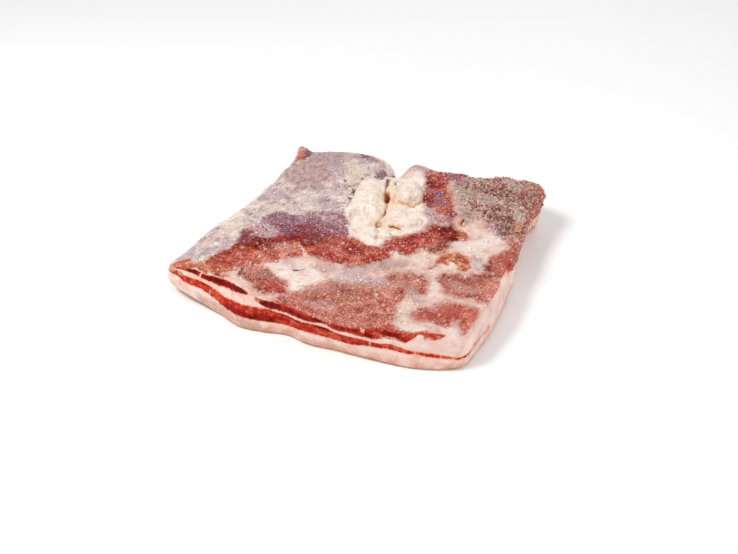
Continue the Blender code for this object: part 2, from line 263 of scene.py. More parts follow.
LEAN_ON_TOP = {  # each with the softness of its edge
    "red_band": (0.26, (
        (-10.1, -11.5), (-9.7, -10.2), (-9.5, -9.0), (-9.2, -8.0), (-9.0, -7.2), (-9.2, -6.2),
        (-9.2, -4.8), (-8.9, -3.4), (-8.4, -2.6), (-7.7, -2.2), (-6.7, -1.9), (-5.9, -1.8), (-5.0, -1.3),
        (-4.2, -1.0), (-3.2, -1.0), (-2.3, -1.2), (-1.6, -1.4), (-0.8, -1.6), (0.1, -1.9), (1.0, -2.3),
        (1.8, -2.9), (2.6, -2.8), (2.6, -2.2), (2.5, -1.3), (3.0, -0.4), (3.9, 0.3), (4.6, 0.9),
        (5.2, 1.6), (5.1, 2.4), (5.7, 2.9), (6.5, 3.3), (6.8, 3.9), (7.2, 3.5), (7.5, 2.8), (8.2, 2.3),
        (8.8, 1.9), (8.6, 1.2), (8.0, 0.7), (7.9, 0.0), (8.0, -0.7), (7.6, -1.6), (7.0, -2.0),
        (6.4, -1.7), (6.0, -1.5), (5.8, -2.2), (5.3, -2.8), (4.6, -2.9), (4.0, -2.8), (4.0, -4.0),
        (3.8, -4.7), (3.2, -5.2), (2.5, -5.9), (1.7, -6.7), (0.9, -6.6), (0.2, -6.9), (-0.8, -6.6),
        (-2.2, -6.2), (-3.0, -6.4), (-3.6, -7.0), (-4.3, -7.6), (-4.5, -8.3), (-5.3, -8.7), (-5.9, -9.3),
        (-6.8, -9.7), (-7.2, -10.4), (-7.6, -11.0), (-8.0, -11.6),
    )),
    "small_patch": (0.28, (
        (-7.0, -9.6), (-6.2, -9.3), (-5.3, -9.1), (-4.2, -9.6), (-3.4, -10.3), (-2.6, -10.5),
        (-2.0, -11.0), (-1.9, -11.6), (-2.3, -12.2), (-3.2, -12.4), (-4.3, -12.2), (-5.2, -11.8),
        (-6.0, -11.6), (-6.5, -11.1),
    )),
    "broad_lean": (0.34, (
        (-2.2, -12.4), (-1.7, -11.4), (-0.9, -10.8), (-0.1, -10.0), (0.7, -9.2), (1.5, -8.6), (2.6, -8.2),
        (3.6, -7.7), (4.6, -7.2), (4.8, -6.2), (5.6, -5.6), (6.9, -5.3), (7.9, -5.2), (8.2, -6.0),
        (8.6, -7.2), (8.3, -7.9), (7.4, -8.3), (7.0, -9.2), (7.1, -10.1), (7.5, -11.2), (7.3, -12.1),
        (6.8, -13.6), (4.0, -14.6), (0.0, -14.4), (-2.2, -13.6),
    )),
    "right_patch": (0.34, (
        (8.8, -4.4), (9.6, -4.0), (10.8, -3.9), (11.4, -3.2), (12.3, -2.9), (13.2, -3.3), (14.2, -4.2),
        (14.3, -5.6), (13.6, -6.7), (12.4, -7.0), (11.4, -7.1), (10.4, -7.1), (9.6, -6.7), (9.0, -5.8),
    )),
    "right_edge": (0.22, (
        (11.8, -0.6), (12.3, 0.2), (12.7, 1.2), (12.6, 2.0), (12.1, 2.8), (12.3, 3.5), (12.9, 2.6),
        (14.0, 2.8), (14.3, 0.0), (14.2, -2.6), (13.2, -3.2), (12.0, -3.0), (11.6, -2.4), (11.7, -1.5),
    )),
    "right_corner": (0.34, (
        (8.1, -10.7), (8.8, -9.9), (9.7, -9.3), (9.8, -8.5), (10.5, -7.9), (11.4, -7.8), (12.4, -8.0),
        (13.2, -8.3), (13.3, -9.2), (13.2, -10.2), (12.8, -10.9), (12.3, -10.4), (12.0, -10.0),
        (11.4, -10.8), (10.2, -10.8), (9.2, -10.9),
    )),
    "left_rim": (0.14, (
        (-12.4, -11.4), (-11.4, -11.1), (-10.2, -11.0), (-9.0, -11.1), (-8.2, -11.5), (-7.8, -12.0),
        (-9.0, -12.4), (-11.0, -12.2), (-12.3, -11.9),
    )),
    "front_edge": (0.16, (
        (6.6, -12.5), (7.3, -12.1), (7.9, -12.5), (8.4, -12.7), (9.0, -12.5), (9.8, -12.3), (10.6, -12.5),
        (11.3, -12.9), (11.4, -13.6), (8.0, -14.2), (6.6, -13.8),
    )),
    "strip_by_the_knobs": (0.28, (
        (1.8, 10.9), (2.2, 12.0), (4.0, 12.8), (5.4, 12.8), (5.6, 11.4), (4.6, 10.6), (4.2, 9.6),
        (4.9, 8.8), (5.6, 7.7), (6.3, 6.3), (6.7, 5.2), (6.9, 4.4), (6.4, 3.6), (5.5, 3.2), (4.8, 3.8),
        (4.6, 4.9), (3.9, 5.6), (3.1, 6.2), (2.7, 7.7), (2.3, 9.2),
    )),
    "crusted_back": (0.55, (
        (4.8, 12.8), (7.0, 13.2), (9.6, 14.4), (12.5, 13.9), (14.4, 12.4), (14.4, 8.0), (14.4, 4.4),
        (12.9, 3.5), (12.1, 2.6), (11.2, 3.0), (10.2, 3.7), (9.2, 4.4), (8.4, 4.3), (7.9, 3.8),
        (7.4, 4.4), (6.9, 5.4), (6.2, 6.8), (5.6, 8.0), (4.9, 9.2), (4.9, 10.4), (5.4, 11.2),
    )),
}
SKIN_OUTLINE = (  # the silvery skin over the back left
    (-15.0, -11.6), (-9.9, -11.4), (-9.5, -9.2), (-9.0, -7.4), (-9.2, -5.0), (-8.8, -3.1), (-7.9, -1.7),
    (-5.9, -1.4), (-5.0, -0.2), (-3.4, 1.2), (-2.4, 1.4), (-2.6, 3.0), (-3.0, 4.2), (-3.4, 5.4),
    (-2.9, 7.0), (-2.4, 8.6), (-1.7, 10.2), (-1.3, 11.4), (-2.0, 13.5), (-7.0, 14.0), (-14.0, 13.0),
    (-14.0, 0.0),
)
KNOB_FAT = (  # the cream fat round the knobs
    (-1.4, 10.5), (-2.2, 9.4), (-2.9, 7.4), (-3.1, 5.4), (-2.8, 3.4), (-2.4, 1.4), (-1.6, -0.4),
    (-0.6, -1.7), (0.6, -2.4), (1.9, -2.9), (2.5, -2.0), (2.6, -0.8), (3.4, 0.2), (4.4, 1.0), (4.7, 1.9),
    (4.5, 3.2), (4.2, 4.4), (3.4, 5.4), (2.9, 6.4), (2.6, 7.8), (2.1, 9.2), (1.6, 10.0), (0.6, 10.1),
    (-0.4, 10.3),
)

# Strokes, each with its points in centimetres, its half width and its strength.
STROKES = {
    "dark": (  # dark red lean
        ((-8.2, -6.6), (-7.2, -6.0), (-6.2, -5.7), 1.6, 1.0),
        ((-5.6, -3.5), (-4.6, -3.7), (-3.6, -4.2), 1.5, 1.0),
        ((-3.4, -3.2), (-2.4, -3.5), 0.9, 0.7),
        ((-6.3, -4.9), (-5.9, -4.4), 0.7, 0.5),
        ((-1.2, -5.2), (-0.6, -5.9), 0.8, 0.5),
        ((-1.6, -2.6), (-0.6, -3.2), (0.8, -3.6), 1.1, 0.35),
        ((2.2, -5.2), (3.2, -4.6), 0.8, 0.15),
        ((-9.2, -9.0), (-8.9, -10.0), 0.9, 0.4),
        ((5.6, 2.5), (6.7, 2.6), (7.3, 1.8), (7.8, 1.0), 1.4, 1.0),
        ((6.9, 3.4), (7.0, 2.7), 0.7, 1.0),
        ((6.6, -1.2), (7.3, -0.4), (7.6, 0.2), 1.0, 0.25),
        ((4.6, -0.1), (4.3, -0.8), 0.7, 0.6),
        ((3.4, -0.6), (3.6, -1.2), 0.4, 0.5),
        ((5.3, -1.2), (5.5, -2.2), 0.6, 0.6),
        ((2.4, 10.4), (2.7, 9.0), 1.2, 1.0),
        ((3.2, 9.6), (3.6, 9.2), 0.7, 0.8),
        ((3.8, 7.6), (3.4, 6.8), 0.6, 0.5),
        ((3.3, 7.0), (3.6, 6.2), 0.5, 0.8),
        ((4.9, 7.9), (5.4, 6.9), 0.5, 0.5),
        ((5.9, 5.6), (6.5, 5.0), 0.5, 0.6),
        ((-6.7, -10.1), (-6.5, -10.9), 0.4, 1.0),
        ((-5.2, -11.0), (-3.6, -11.4), (-2.6, -11.5), 0.9, 0.35),
        ((1.6, -8.8), (2.8, -9.3), 0.8, 0.3),
        ((5.0, -6.2), (5.4, -6.6), 0.5, 0.4),
        ((7.7, -7.2), (8.1, -7.6), 0.5, 0.35),
        ((9.6, 6.6), (10.3, 6.5), (10.8, 5.6), (11.4, 5.5), 1.1, 0.3),
        ((9.3, 5.6), (10.3, 4.5), (11.2, 3.9), 0.9, 0.3),
        ((9.8, 9.4), (11.2, 9.6), (12.2, 9.3), 0.9, 0.35),
        ((7.0, 8.8), (7.8, 9.4), (8.6, 9.6), 0.8, 0.5),
        ((4.3, 10.2), (5.0, 9.9), 0.7, 0.5),
        ((6.4, 8.0), (6.5, 7.6), 0.4, 0.6),
        ((12.0, 5.0), (12.6, 4.2), 0.6, 0.5),
        ((11.8, -1.6), (11.9, -2.4), 0.5, 0.9),
        ((9.4, -4.7), (10.9, -4.4), 0.8, 0.4),
        ((11.2, -3.4), (12.4, -3.2), 0.7, 0.35),
    ),
    "pale": (  # pinker or saltier lean
        ((-5.8, -5.6), (-4.4, -6.2), (-3.6, -5.4), 1.3, 0.7),
        ((-4.6, -4.4), (-4.0, -5.2), 0.45, 0.7),
        ((-6.8, -7.8), (-5.4, -7.8), (-4.7, -7.4), 1.1, 0.5),
        ((-7.0, -10.4), (-6.4, -8.8), (-5.4, -9.4), 1.0, 0.4),
        ((-1.9, -4.6), (-1.4, -5.3), 0.35, 0.7),
        ((1.0, -4.6), (1.4, -5.2), 0.5, 0.35),
        ((4.1, -2.0), (4.0, -3.4), 0.35, 0.8),
        ((4.2, -8.2), (6.0, -8.8), (6.2, -10.4), 1.6, 0.3),
        ((2.0, -12.0), (4.4, -12.4), 1.2, 0.25),
        ((7.3, -6.3), (7.4, -6.9), 0.5, 0.9),
        ((12.3, -9.0), (12.7, -9.2), 0.4, 1.0),
        ((11.0, -5.8), (12.2, -5.4), 1.1, 0.4),
        ((13.0, -4.4), (13.4, -5.8), 1.0, 1.0),
        ((12.4, -8.6), (12.6, -9.4), 0.8, 0.6),
        ((-1.6, -4.2), (-0.4, -4.8), 0.9, 0.3),
        ((4.6, 5.2), (5.4, 4.2), (6.2, 3.9), 1.1, 0.7),
        ((3.6, 8.6), (3.4, 8.0), 0.5, 0.6),
        ((6.8, 8.2), (7.6, 7.0), (8.8, 6.6), (9.0, 5.4), 1.2, 0.5),
        ((11.4, 7.8), (12.4, 6.6), 0.9, 0.5),
        ((6.2, 11.4), (7.4, 12.0), (9.4, 12.6), 1.0, 0.2),
    ),
    "brown": (  # dried brown patches
        ((-3.2, -3.4), (-2.6, -3.8), 0.8, 0.8),
        ((6.7, -1.5), (7.2, -0.7), (7.7, 0.2), 0.9, 0.6),
        ((-9.3, -9.2), (-9.0, -10.8), (-8.0, -10.9), 0.9, 0.35),
        ((-6.4, -10.6), (-5.2, -10.6), (-4.2, -10.2), 1.0, 0.6),
        ((8.6, 9.8), (8.9, 11.2), 0.6, 0.5),
        ((11.3, 11.6), (11.5, 12.2), 0.7, 0.6),
        ((12.3, 5.4), (12.6, 4.4), (12.2, 3.0), 0.7, 0.6),
        ((12.2, 10.6), (12.8, 8.8), (12.9, 7.0), 0.9, 0.7),
        ((11.0, 10.0), (12.4, 11.4), (12.8, 12.2), 1.2, 0.7),
        ((8.6, 12.8), (9.6, 12.4), 0.8, 0.6),
        ((9.8, 6.8), (10.9, 5.9), 1.2, 0.25),
        ((8.0, 2.2), (8.5, 1.7), 0.5, 0.6),
        ((1.0, -6.5), (1.8, -6.4), 0.5, 0.6),
        ((0.4, -10.9), (2.4, -10.7), (3.4, -9.6), 1.2, 0.4),
        ((13.2, 2.0), (13.3, 0.4), 0.5, 0.5),
        ((9.8, -4.8), (11.2, -4.6), (12.6, -3.8), 1.0, 0.4),
    ),
    "bright": (  # moist saturated red
        ((-5.8, -4.0), (-4.4, -3.6), (-3.6, -4.4), 1.5, 1.0),
        ((-8.0, -6.6), (-6.6, -6.0), 1.2, 0.6),
        ((-1.2, -5.4), (-0.4, -6.2), 1.1, 0.9),
        ((-3.8, -6.0), (-2.6, -5.6), 0.7, 0.5),
        ((0.2, -3.6), (1.8, -4.0), (3.2, -4.6), 1.5, 0.6),
        ((1.0, -6.2), (2.2, -5.6), 0.8, 0.6),
        ((3.1, -0.7), (3.6, -1.6), (3.4, -3.4), 1.0, 0.8),
        ((4.2, 0.2), (4.8, -1.0), (5.2, -2.2), 1.1, 0.8),
        ((4.8, 0.8), (6.2, 0.6), 1.0, 0.6),
        ((5.8, 2.2), (6.8, 2.4), (7.8, 1.4), 1.5, 1.0),
        ((2.5, 10.6), (2.7, 9.4), (3.6, 8.8), 1.0, 1.0),
        ((3.2, 7.2), (3.6, 6.2), 0.7, 0.9),
        ((-9.2, -9.2), (-8.6, -10.4), 1.2, 0.6),
        ((12.7, -8.3), (12.9, -8.6), 0.6, 0.9),
        ((12.6, -9.4), (12.7, -10.3), 0.6, 1.0),
        ((10.0, -9.8), (11.2, -9.4), (12.0, -8.6), 1.6, 0.45),
        ((12.4, -0.6), (13.0, 0.8), (13.0, -1.8), 1.0, 0.2),
        ((-3.6, -11.4), (-2.6, -11.5), 1.0, 0.8),
        ((10.4, -11.8), (11.4, -11.6), 0.5, 0.5),
        ((7.0, -12.8), (8.4, -13.2), (9.4, -12.9), (10.8, -13.0), 0.8, 1.0),
        ((10.0, -4.8), (10.8, -4.4), 0.8, 0.35),
    ),
    "plum": (  # lean seen through skin
        ((-9.0, -4.7), (-8.9, -5.6), (-8.4, -6.4), 0.75, 1.0),
        ((-5.4, -2.4), (-4.4, -2.0), (-3.0, -2.6), 1.1, 1.0),
        ((-4.9, -3.1), (-3.0, -3.1), 0.7, 0.7),
        ((-6.2, -2.9), (-5.6, -2.6), 0.8, 0.6),
        ((-4.6, -0.1), (-3.6, 0.0), (-2.4, 0.1), 0.8, 0.3),
        ((-10.7, 11.0), (-10.5, 9.4), 0.7, 0.75),
        ((5.9, 4.6), (6.6, 4.9), 0.6, 0.5),
        ((3.9, 6.0), (4.5, 5.6), 0.6, 0.6),
        ((3.4, 11.6), (4.6, 11.2), 0.8, 0.5),
    ),
    "violet": (
        ((-8.3, -2.7), (-7.6, -2.1), (-6.6, -2.0), (-6.2, -2.4), 0.95, 1.0),
        ((-8.4, -2.0), (-7.6, -1.4), (-6.6, -1.3), (-5.8, -1.2), 0.8, 1.0),
        ((-7.8, -2.6), (-6.4, -2.2), 0.8, 0.8),
        ((-5.2, -0.3), (-4.4, 0.4), (-3.4, 0.7), (-2.4, 0.6), (-1.9, -0.2), 0.8, 0.6),
        ((-7.4, -2.6), (-6.6, -2.2), 0.8, 0.6),
        ((-7.2, -3.2), (-6.4, -3.2), 0.7, 0.8),
        ((-4.8, -1.0), (-3.6, -1.0), (-2.2, -0.9), 1.1, 0.85),
        ((-2.6, -1.9), (-1.6, -1.7), 0.9, 0.9),
        ((-1.8, -0.7), (-1.2, -1.6), 0.7, 0.8),
        ((-6.0, -4.0), (-5.8, -3.4), 0.7, 0.6),
        ((4.4, 4.6), (5.4, 4.2), (6.2, 4.2), 1.1, 0.5),
        ((4.4, 7.4), (4.9, 6.4), 0.9, 0.55),
        ((3.0, 8.2), (3.8, 7.8), 0.7, 0.5),
        ((4.2, 11.4), (5.4, 10.6), 1.2, 0.5),
        ((-5.3, 12.1), (-4.6, 11.4), 0.7, 0.6),
        ((-2.4, 10.1), (-2.3, 8.6), 0.55, 0.85),
    ),
    "lilac": (  # pale speckled patch on the band and bluish skin
        ((-8.6, -3.4), (-7.6, -3.8), (-6.9, -4.4), 1.0, 1.0),
        ((-8.3, -4.7), (-7.2, -4.8), 0.6, 0.8),
        ((0.6, -7.5), (1.8, -7.4), (3.0, -6.8), 0.9, 0.4),
        ((3.2, -7.8), (4.4, -7.4), 0.9, 0.45),
        ((1.2, -8.4), (2.4, -8.0), 0.8, 0.4),
        ((-0.8, -10.6), (0.6, -10.2), (1.6, -9.4), 1.2, 0.2),
        ((4.8, -8.4), (6.2, -7.6), (7.0, -6.4), 0.9, 0.15),
        ((10.6, -1.2), (11.2, -2.4), 0.8, 0.6),
        ((-7.2, 1.0), (-6.4, 0.2), 1.0, 0.5),
        ((-6.6, 8.0), (-5.6, 7.4), 1.0, 0.6),
        ((-9.6, -6.8), (-9.9, -8.8), 0.9, 0.55),
        ((-12.8, -9.6), (-11.6, -10.4), 1.2, 0.5),
        ((3.4, 5.2), (4.2, 4.9), 0.45, 0.7),
        ((4.8, 4.7), (5.8, 4.3), 0.7, 0.5),
        ((4.9, 3.8), (5.1, 2.8), 0.5, 0.6),
        ((10.4, 4.4), (10.6, 3.2), 0.8, 0.4),
    ),
    "film": (  # a thin grey film of salt
        ((5.2, 9.4), (6.2, 7.6), (7.6, 5.6), (8.8, 4.6), 1.1, 0.85),
        ((6.6, 9.0), (8.2, 8.2), (9.6, 8.0), 0.9, 0.8),
        ((6.0, 11.6), (7.4, 11.2), 0.9, 0.5),
        ((9.8, 11.2), (10.6, 10.4), 0.8, 0.6),
        ((11.4, 7.4), (12.4, 6.2), 0.8, 0.6),
        ((10.0, -5.3), (12.0, -5.6), 1.0, 0.4),
        ((7.4, -7.6), (8.4, -8.6), (8.2, -9.6), 0.8, 0.6),
        ((-5.6, -5.8), (-4.4, -6.0), 0.9, 0.35),
        ((-5.6, -10.2), (-4.4, -10.4), 0.8, 0.2),
        ((2.6, -8.6), (4.6, -8.0), (6.2, -7.2), 0.9, 0.4),
        ((0.4, -12.2), (2.4, -11.8), 0.8, 0.4),
    ),
    "mauve": (  # grey-violet skin
        ((-10.6, 1.6), (-9.4, 2.0), 1.3, 0.75),
        ((-12.9, -8.4), (-12.0, -9.6), 0.9, 0.7),
        ((-10.9, -8.6), (-10.4, -9.8), 0.6, 0.55),
        ((-6.8, 9.4), (-5.6, 8.4), 1.4, 0.8),
        ((-9.8, 10.6), (-8.6, 9.6), 1.4, 0.6),
        ((-7.6, 11.0), (-6.8, 10.2), 1.2, 0.7),
        ((-5.0, 11.0), (-4.4, 10.2), 0.8, 0.6),
        ((-5.0, 2.4), (-3.6, 1.6), 1.2, 0.7),
        ((-5.2, 5.0), (-4.2, 4.4), 0.9, 0.5),
        ((-12.2, -5.3), (-11.8, -5.0), 0.6, 0.5),
        ((-9.0, -1.2), (-8.2, -1.6), 0.7, 0.5),
        ((0.2, 11.4), (1.4, 11.2), 0.8, 0.8),
        ((-4.2, -8.6), (-2.2, -8.1), 0.8, 0.35),
        ((7.6, -8.2), (8.4, -8.8), 0.8, 0.6),
    ),
    "brown_pink": (  # warm brownish skin
        ((-9.8, 7.4), (-9.2, 6.2), (-8.0, 5.6), 2.2, 1.0),
        ((-10.4, 9.0), (-9.2, 9.0), 1.6, 0.8),
        ((-9.0, 10.4), (-7.6, 9.8), (-7.4, 8.6), 1.6, 0.8),
        ((-8.2, 11.2), (-6.4, 11.8), (-5.0, 11.6), 1.2, 0.9),
        ((-8.2, 4.0), (-8.4, 3.0), 1.0, 0.4),
        ((-7.2, 7.0), (-6.6, 6.2), 1.2, 0.5),
        ((-3.9, 11.4), (-3.5, 11.6), 0.5, 0.7),
        ((0.4, 11.8), (2.0, 11.6), 0.7, 0.5),
        ((1.6, -7.1), (3.4, -6.0), (5.2, -4.4), 1.1, 0.55),
        ((-1.6, -7.6), (0.2, -7.4), 0.8, 0.45),
        ((-8.2, 11.4), (-6.4, 10.6), 1.2, 0.6),
    ),
    "cream": (  # yellowish cream fat and skin
        ((-11.0, -3.0), (-10.6, -5.2), (-10.6, -4.2), 1.3, 0.7),
        ((-11.8, -7.2), (-11.4, -8.4), 1.0, 0.6),
        ((-8.9, -0.6), (-7.4, -0.6), 1.2, 0.8),
        ((-5.8, 9.8), (-5.0, 8.9), (-4.4, 7.2), 0.9, 1.0),
        ((-4.2, 8.8), (-3.6, 6.8), 0.8, 0.8),
        ((-6.4, 12.0), (-6.4, 10.6), 0.5, 0.7),
        ((-7.0, 2.2), (-6.2, 1.4), 1.0, 0.5),
        ((7.5, -9.4), (7.8, -11.0), (8.0, -12.2), 1.0, 0.9),
        ((4.6, -3.8), (6.4, -3.0), (7.2, -2.6), 1.2, 0.5),
        ((6.2, -2.4), (7.8, -3.6), 0.9, 0.5),
        ((7.8, -4.4), (8.3, -5.6), 0.8, 0.6),
        ((8.4, -3.6), (10.4, -3.4), 0.8, 0.5),
        ((-13.0, -11.2), (-10.6, -11.1), 0.7, 0.8),
        ((-7.4, -10.8), (-7.0, -11.6), 0.6, 0.6),
        ((8.8, -8.0), (9.2, -9.2), 0.8, 0.5),
        ((11.6, -11.4), (12.6, -11.0), 0.9, 0.2),
        ((1.0, -1.0), (1.8, -2.2), 0.7, 0.6),
        ((7.6, 3.2), (8.2, 2.9), 0.6, 0.8),
    ),
    "bright_fat": (
        ((-4.2, -9.0), (-2.4, -9.4), (-1.2, -10.2), 1.5, 0.75),
        ((-2.4, -7.4), (-1.2, -8.3), (-0.4, -9.0), 1.0, 0.7),
        ((-3.4, 12.1), (-2.2, 11.7), 0.6, 1.0),
        ((0.7, 12.0), (1.0, 11.9), 0.6, 1.0),
        ((9.2, 0.4), (10.6, 1.4), (11.2, 2.6), 1.7, 0.8),
        ((10.2, -2.0), (11.0, -2.2), 0.6, 0.5),
        ((0.0, 10.9), (0.6, 10.7), 0.5, 0.5),
        ((-11.5, -0.6), (-11.5, 2.6), 0.6, 0.8),
        ((-12.4, -4.6), (-11.8, -2.0), 0.7, 0.6),
        ((8.6, -5.8), (9.0, -7.4), 0.5, 0.7),
        ((9.6, -12.2), (8.6, -12.6), 0.8, 0.5),
        ((11.4, -11.4), (12.4, -11.2), 0.8, 0.5),
        ((0.6, 9.4), (1.0, 10.6), 0.7, 0.6),
    ),
    "stain": (  # orange-brown
        ((8.1, -2.6), (8.1, -2.0), (8.8, -1.6), (9.6, -1.6), (9.9, -2.2), (10.1, -2.8), 0.8, 1.0),
        ((8.4, -2.8), (8.5, -2.1), 0.6, 1.0),
        ((9.4, -2.0), (9.8, -2.4), 0.7, 1.0),
        ((7.8, -3.4), (7.6, -4.2), 0.45, 0.5),
        ((-11.5, 11.0), (-11.3, 10.3), (-11.0, 9.2), 0.5, 0.55),
        ((-13.0, -11.7), (-11.4, -11.5), (-9.6, -11.4), (-8.2, -11.5), (-7.4, -11.9), 0.7, 0.55),
        ((-13.2, -11.6), (-12.4, -11.3), (-11.6, -11.0), 0.5, 0.9),
        ((8.4, 2.2), (8.6, 1.5), 0.5, 0.7),
        ((12.6, -9.6), (12.8, -10.3), 0.45, 0.8),
        ((9.2, -12.8), (10.0, -12.6), (11.0, -12.9), 0.5, 0.7),
        ((12.8, -8.3), (12.9, -8.6), 0.4, 0.6),
        ((7.5, 4.2), (7.9, 3.4), 0.35, 0.5),
        ((5.2, 8.2), (5.0, 7.2), 0.5, 0.6),
        ((12.2, 5.5), (12.5, 4.6), 0.8, 0.4),
        ((2.2, 11.0), (2.6, 10.6), 0.5, 0.5),
        ((-5.2, -8.4), (-4.6, -8.2), 0.5, 0.5),
        ((-8.2, -10.4), (-7.8, -10.8), 0.6, 0.4),
        ((2.8, 7.6), (2.9, 7.2), 0.3, 0.6),
        ((12.6, 11.8), (12.9, 10.8), 0.9, 0.3),
        ((11.4, 10.8), (11.8, 9.4), 0.9, 0.25),
    ),
    "pit": (  # small dark holes
        ((-2.7, -8.3), (-2.3, -8.0), (-2.0, -7.9), 0.20, 0.8),
        ((-1.7, -7.5), (-1.1, -7.6), 0.2, 0.5),
        ((-3.6, -8.9), (-3.6, -9.1), 0.16, 0.5),
        ((-6.7, -10.1), (-6.4, -11.0), 0.24, 1.0),
        ((-3.4, 5.3), (-3.1, 4.8), (-2.9, 4.0), 0.30, 1.0),
        ((-3.4, 4.1), (-3.0, 3.8), 0.22, 1.0),
        ((-4.9, 6.8), (-4.5, 6.2), 0.16, 0.8),
        ((-3.4, 6.5), (-3.3, 6.4), 0.16, 0.8),
        ((-3.9, 5.8), (-3.9, 5.7), 0.16, 0.8),
        ((-3.6, 7.6), (-3.3, 7.2), 0.14, 0.6),
        ((-2.8, 1.9), (-2.7, 1.1), 0.14, 0.6),
        ((-1.7, 10.8), (-1.7, 10.5), 0.18, 0.9),
        ((-11.9, -5.1), (-11.8, -5.2), 0.18, 0.5),
        ((-12.3, -5.7), (-12.1, -5.8), 0.16, 0.4),
        ((-8.3, -1.6), (-8.1, -1.6), 0.18, 0.5),
        ((-7.7, -3.6), (-7.5, -4.1), 0.16, 0.8),
        ((-8.1, -3.4), (-8.0, -3.6), 0.12, 0.6),
        ((-7.9, 2.2), (-7.8, 2.1), 0.15, 0.5),
        ((-5.4, 2.2), (-5.4, 1.9), 0.15, 0.6),
        ((-5.4, -0.8), (-5.2, -0.9), 0.2, 0.5),
        ((7.5, 4.3), (7.8, 3.8), 0.2, 0.9),
        ((11.1, 5.5), (11.3, 5.5), 0.24, 0.9),
        ((11.6, 6.7), (11.6, 6.7), 0.14, 0.7),
        ((2.35, 9.7), (2.6, 9.2), 0.2, 0.8),
        ((6.4, 8.0), (6.5, 7.9), 0.16, 0.7),
        ((5.1, -1.0), (5.2, -1.1), 0.14, 0.5),
        ((11.8, -1.8), (11.9, -2.2), 0.22, 0.4),
        ((3.6, -1.0), (3.7, -1.3), 0.16, 0.5),
        ((7.4, -12.8), (8.1, -13.0), 0.3, 0.4),
        ((4.7, -7.2), (4.8, -7.3), 0.16, 0.5),
    ),
    "salted": (  # where the salt lies thicker
        ((-5.2, 8.2), (-4.4, 6.2), (-3.9, 4.6), 1.5, 0.8),
        ((-8.4, -3.4), (-7.2, -4.2), 1.1, 1.0),
        ((-4.6, -0.2), (-2.4, -0.2), (-1.6, -1.0), 1.1, 0.9),
        ((-12.4, -8.4), (-11.2, -6.0), (-11.2, -3.4), 1.2, 0.5),
        ((-6.6, 0.2), (-4.6, 1.8), (-2.8, 2.8), 1.3, 0.8),
        ((2.0, -8.4), (4.0, -7.4), (5.6, -6.6), 1.6, 0.9),
        ((7.4, -8.4), (8.6, -9.4), 1.2, 1.0),
        ((5.6, 8.6), (7.4, 6.6), (8.6, 5.0), 1.6, 1.0),
        ((-6.0, -6.2), (-4.4, -6.6), 1.6, 0.8),
        ((-6.6, -10.2), (-4.2, -10.6), 1.2, 1.0),
        ((6.2, -1.6), (7.6, -0.6), 0.9, 0.8),
        ((-5.4, 3.0), (-3.6, 2.2), 1.4, 0.6),
        ((4.6, 5.2), (6.0, 4.2), 1.3, 0.8),
        ((10.4, -6.0), (12.0, -5.0), 1.4, 0.6),
    ),
    "even": (  # where the lean is smooth and one colour
        ((9.6, -5.6), (11.0, -5.8), (12.8, -5.2), 1.7, 1.0),
        ((9.4, -10.2), (10.8, -9.0), (12.6, -9.2), 1.6, 1.0),
        ((12.8, 2.2), (12.9, 0.4), (12.6, -2.0), 1.3, 0.8),
        ((4.4, -6.0), (6.2, -6.6), (7.6, -6.4), 1.2, 0.5),
    ),
    "veins": (  # thin fat that runs through the lean
        ((-4.2, -4.6), (-3.1, -5.9), (-2.2, -6.7), (-1.6, -7.3), 0.20, 1.0),
        ((-0.5, -4.5), (0.1, -5.4), (0.5, -6.2), 0.13, 0.6),
        ((-6.9, -7.0), (-6.2, -8.2), (-6.4, -9.2), 0.12, 0.5),
        ((2.6, -3.4), (2.2, -4.4), 0.12, 0.5),
    ),
    "bare": (  # where the salt has melted
        ((9.6, -5.6), (12.8, -5.2), 1.4, 0.6),
        ((9.6, -9.8), (12.4, -9.0), 1.4, 0.6),
        ((-5.6, -3.6), (-3.8, -3.8), 1.1, 0.8),
        ((-8.2, -6.4), (-6.6, -6.0), 1.0, 0.7),
        ((5.8, 2.4), (7.4, 1.8), 1.2, 0.7),
        ((-9.2, -9.4), (-8.6, -10.6), 1.0, 0.6),
        ((9.4, 0.6), (11.0, 1.8), 2.0, 0.9),
        ((8.0, -2.4), (9.8, -1.8), 1.2, 0.7),
        ((-3.4, -9.2), (-1.0, -9.4), 1.6, 0.8),
        ((12.6, -8.4), (12.8, -10.2), 0.8, 0.6),
        ((-3.6, -11.6), (-2.6, -11.6), 0.8, 0.5),
        ((-9.6, -1.0), (-7.4, -0.4), 1.2, 0.5),
    ),
}

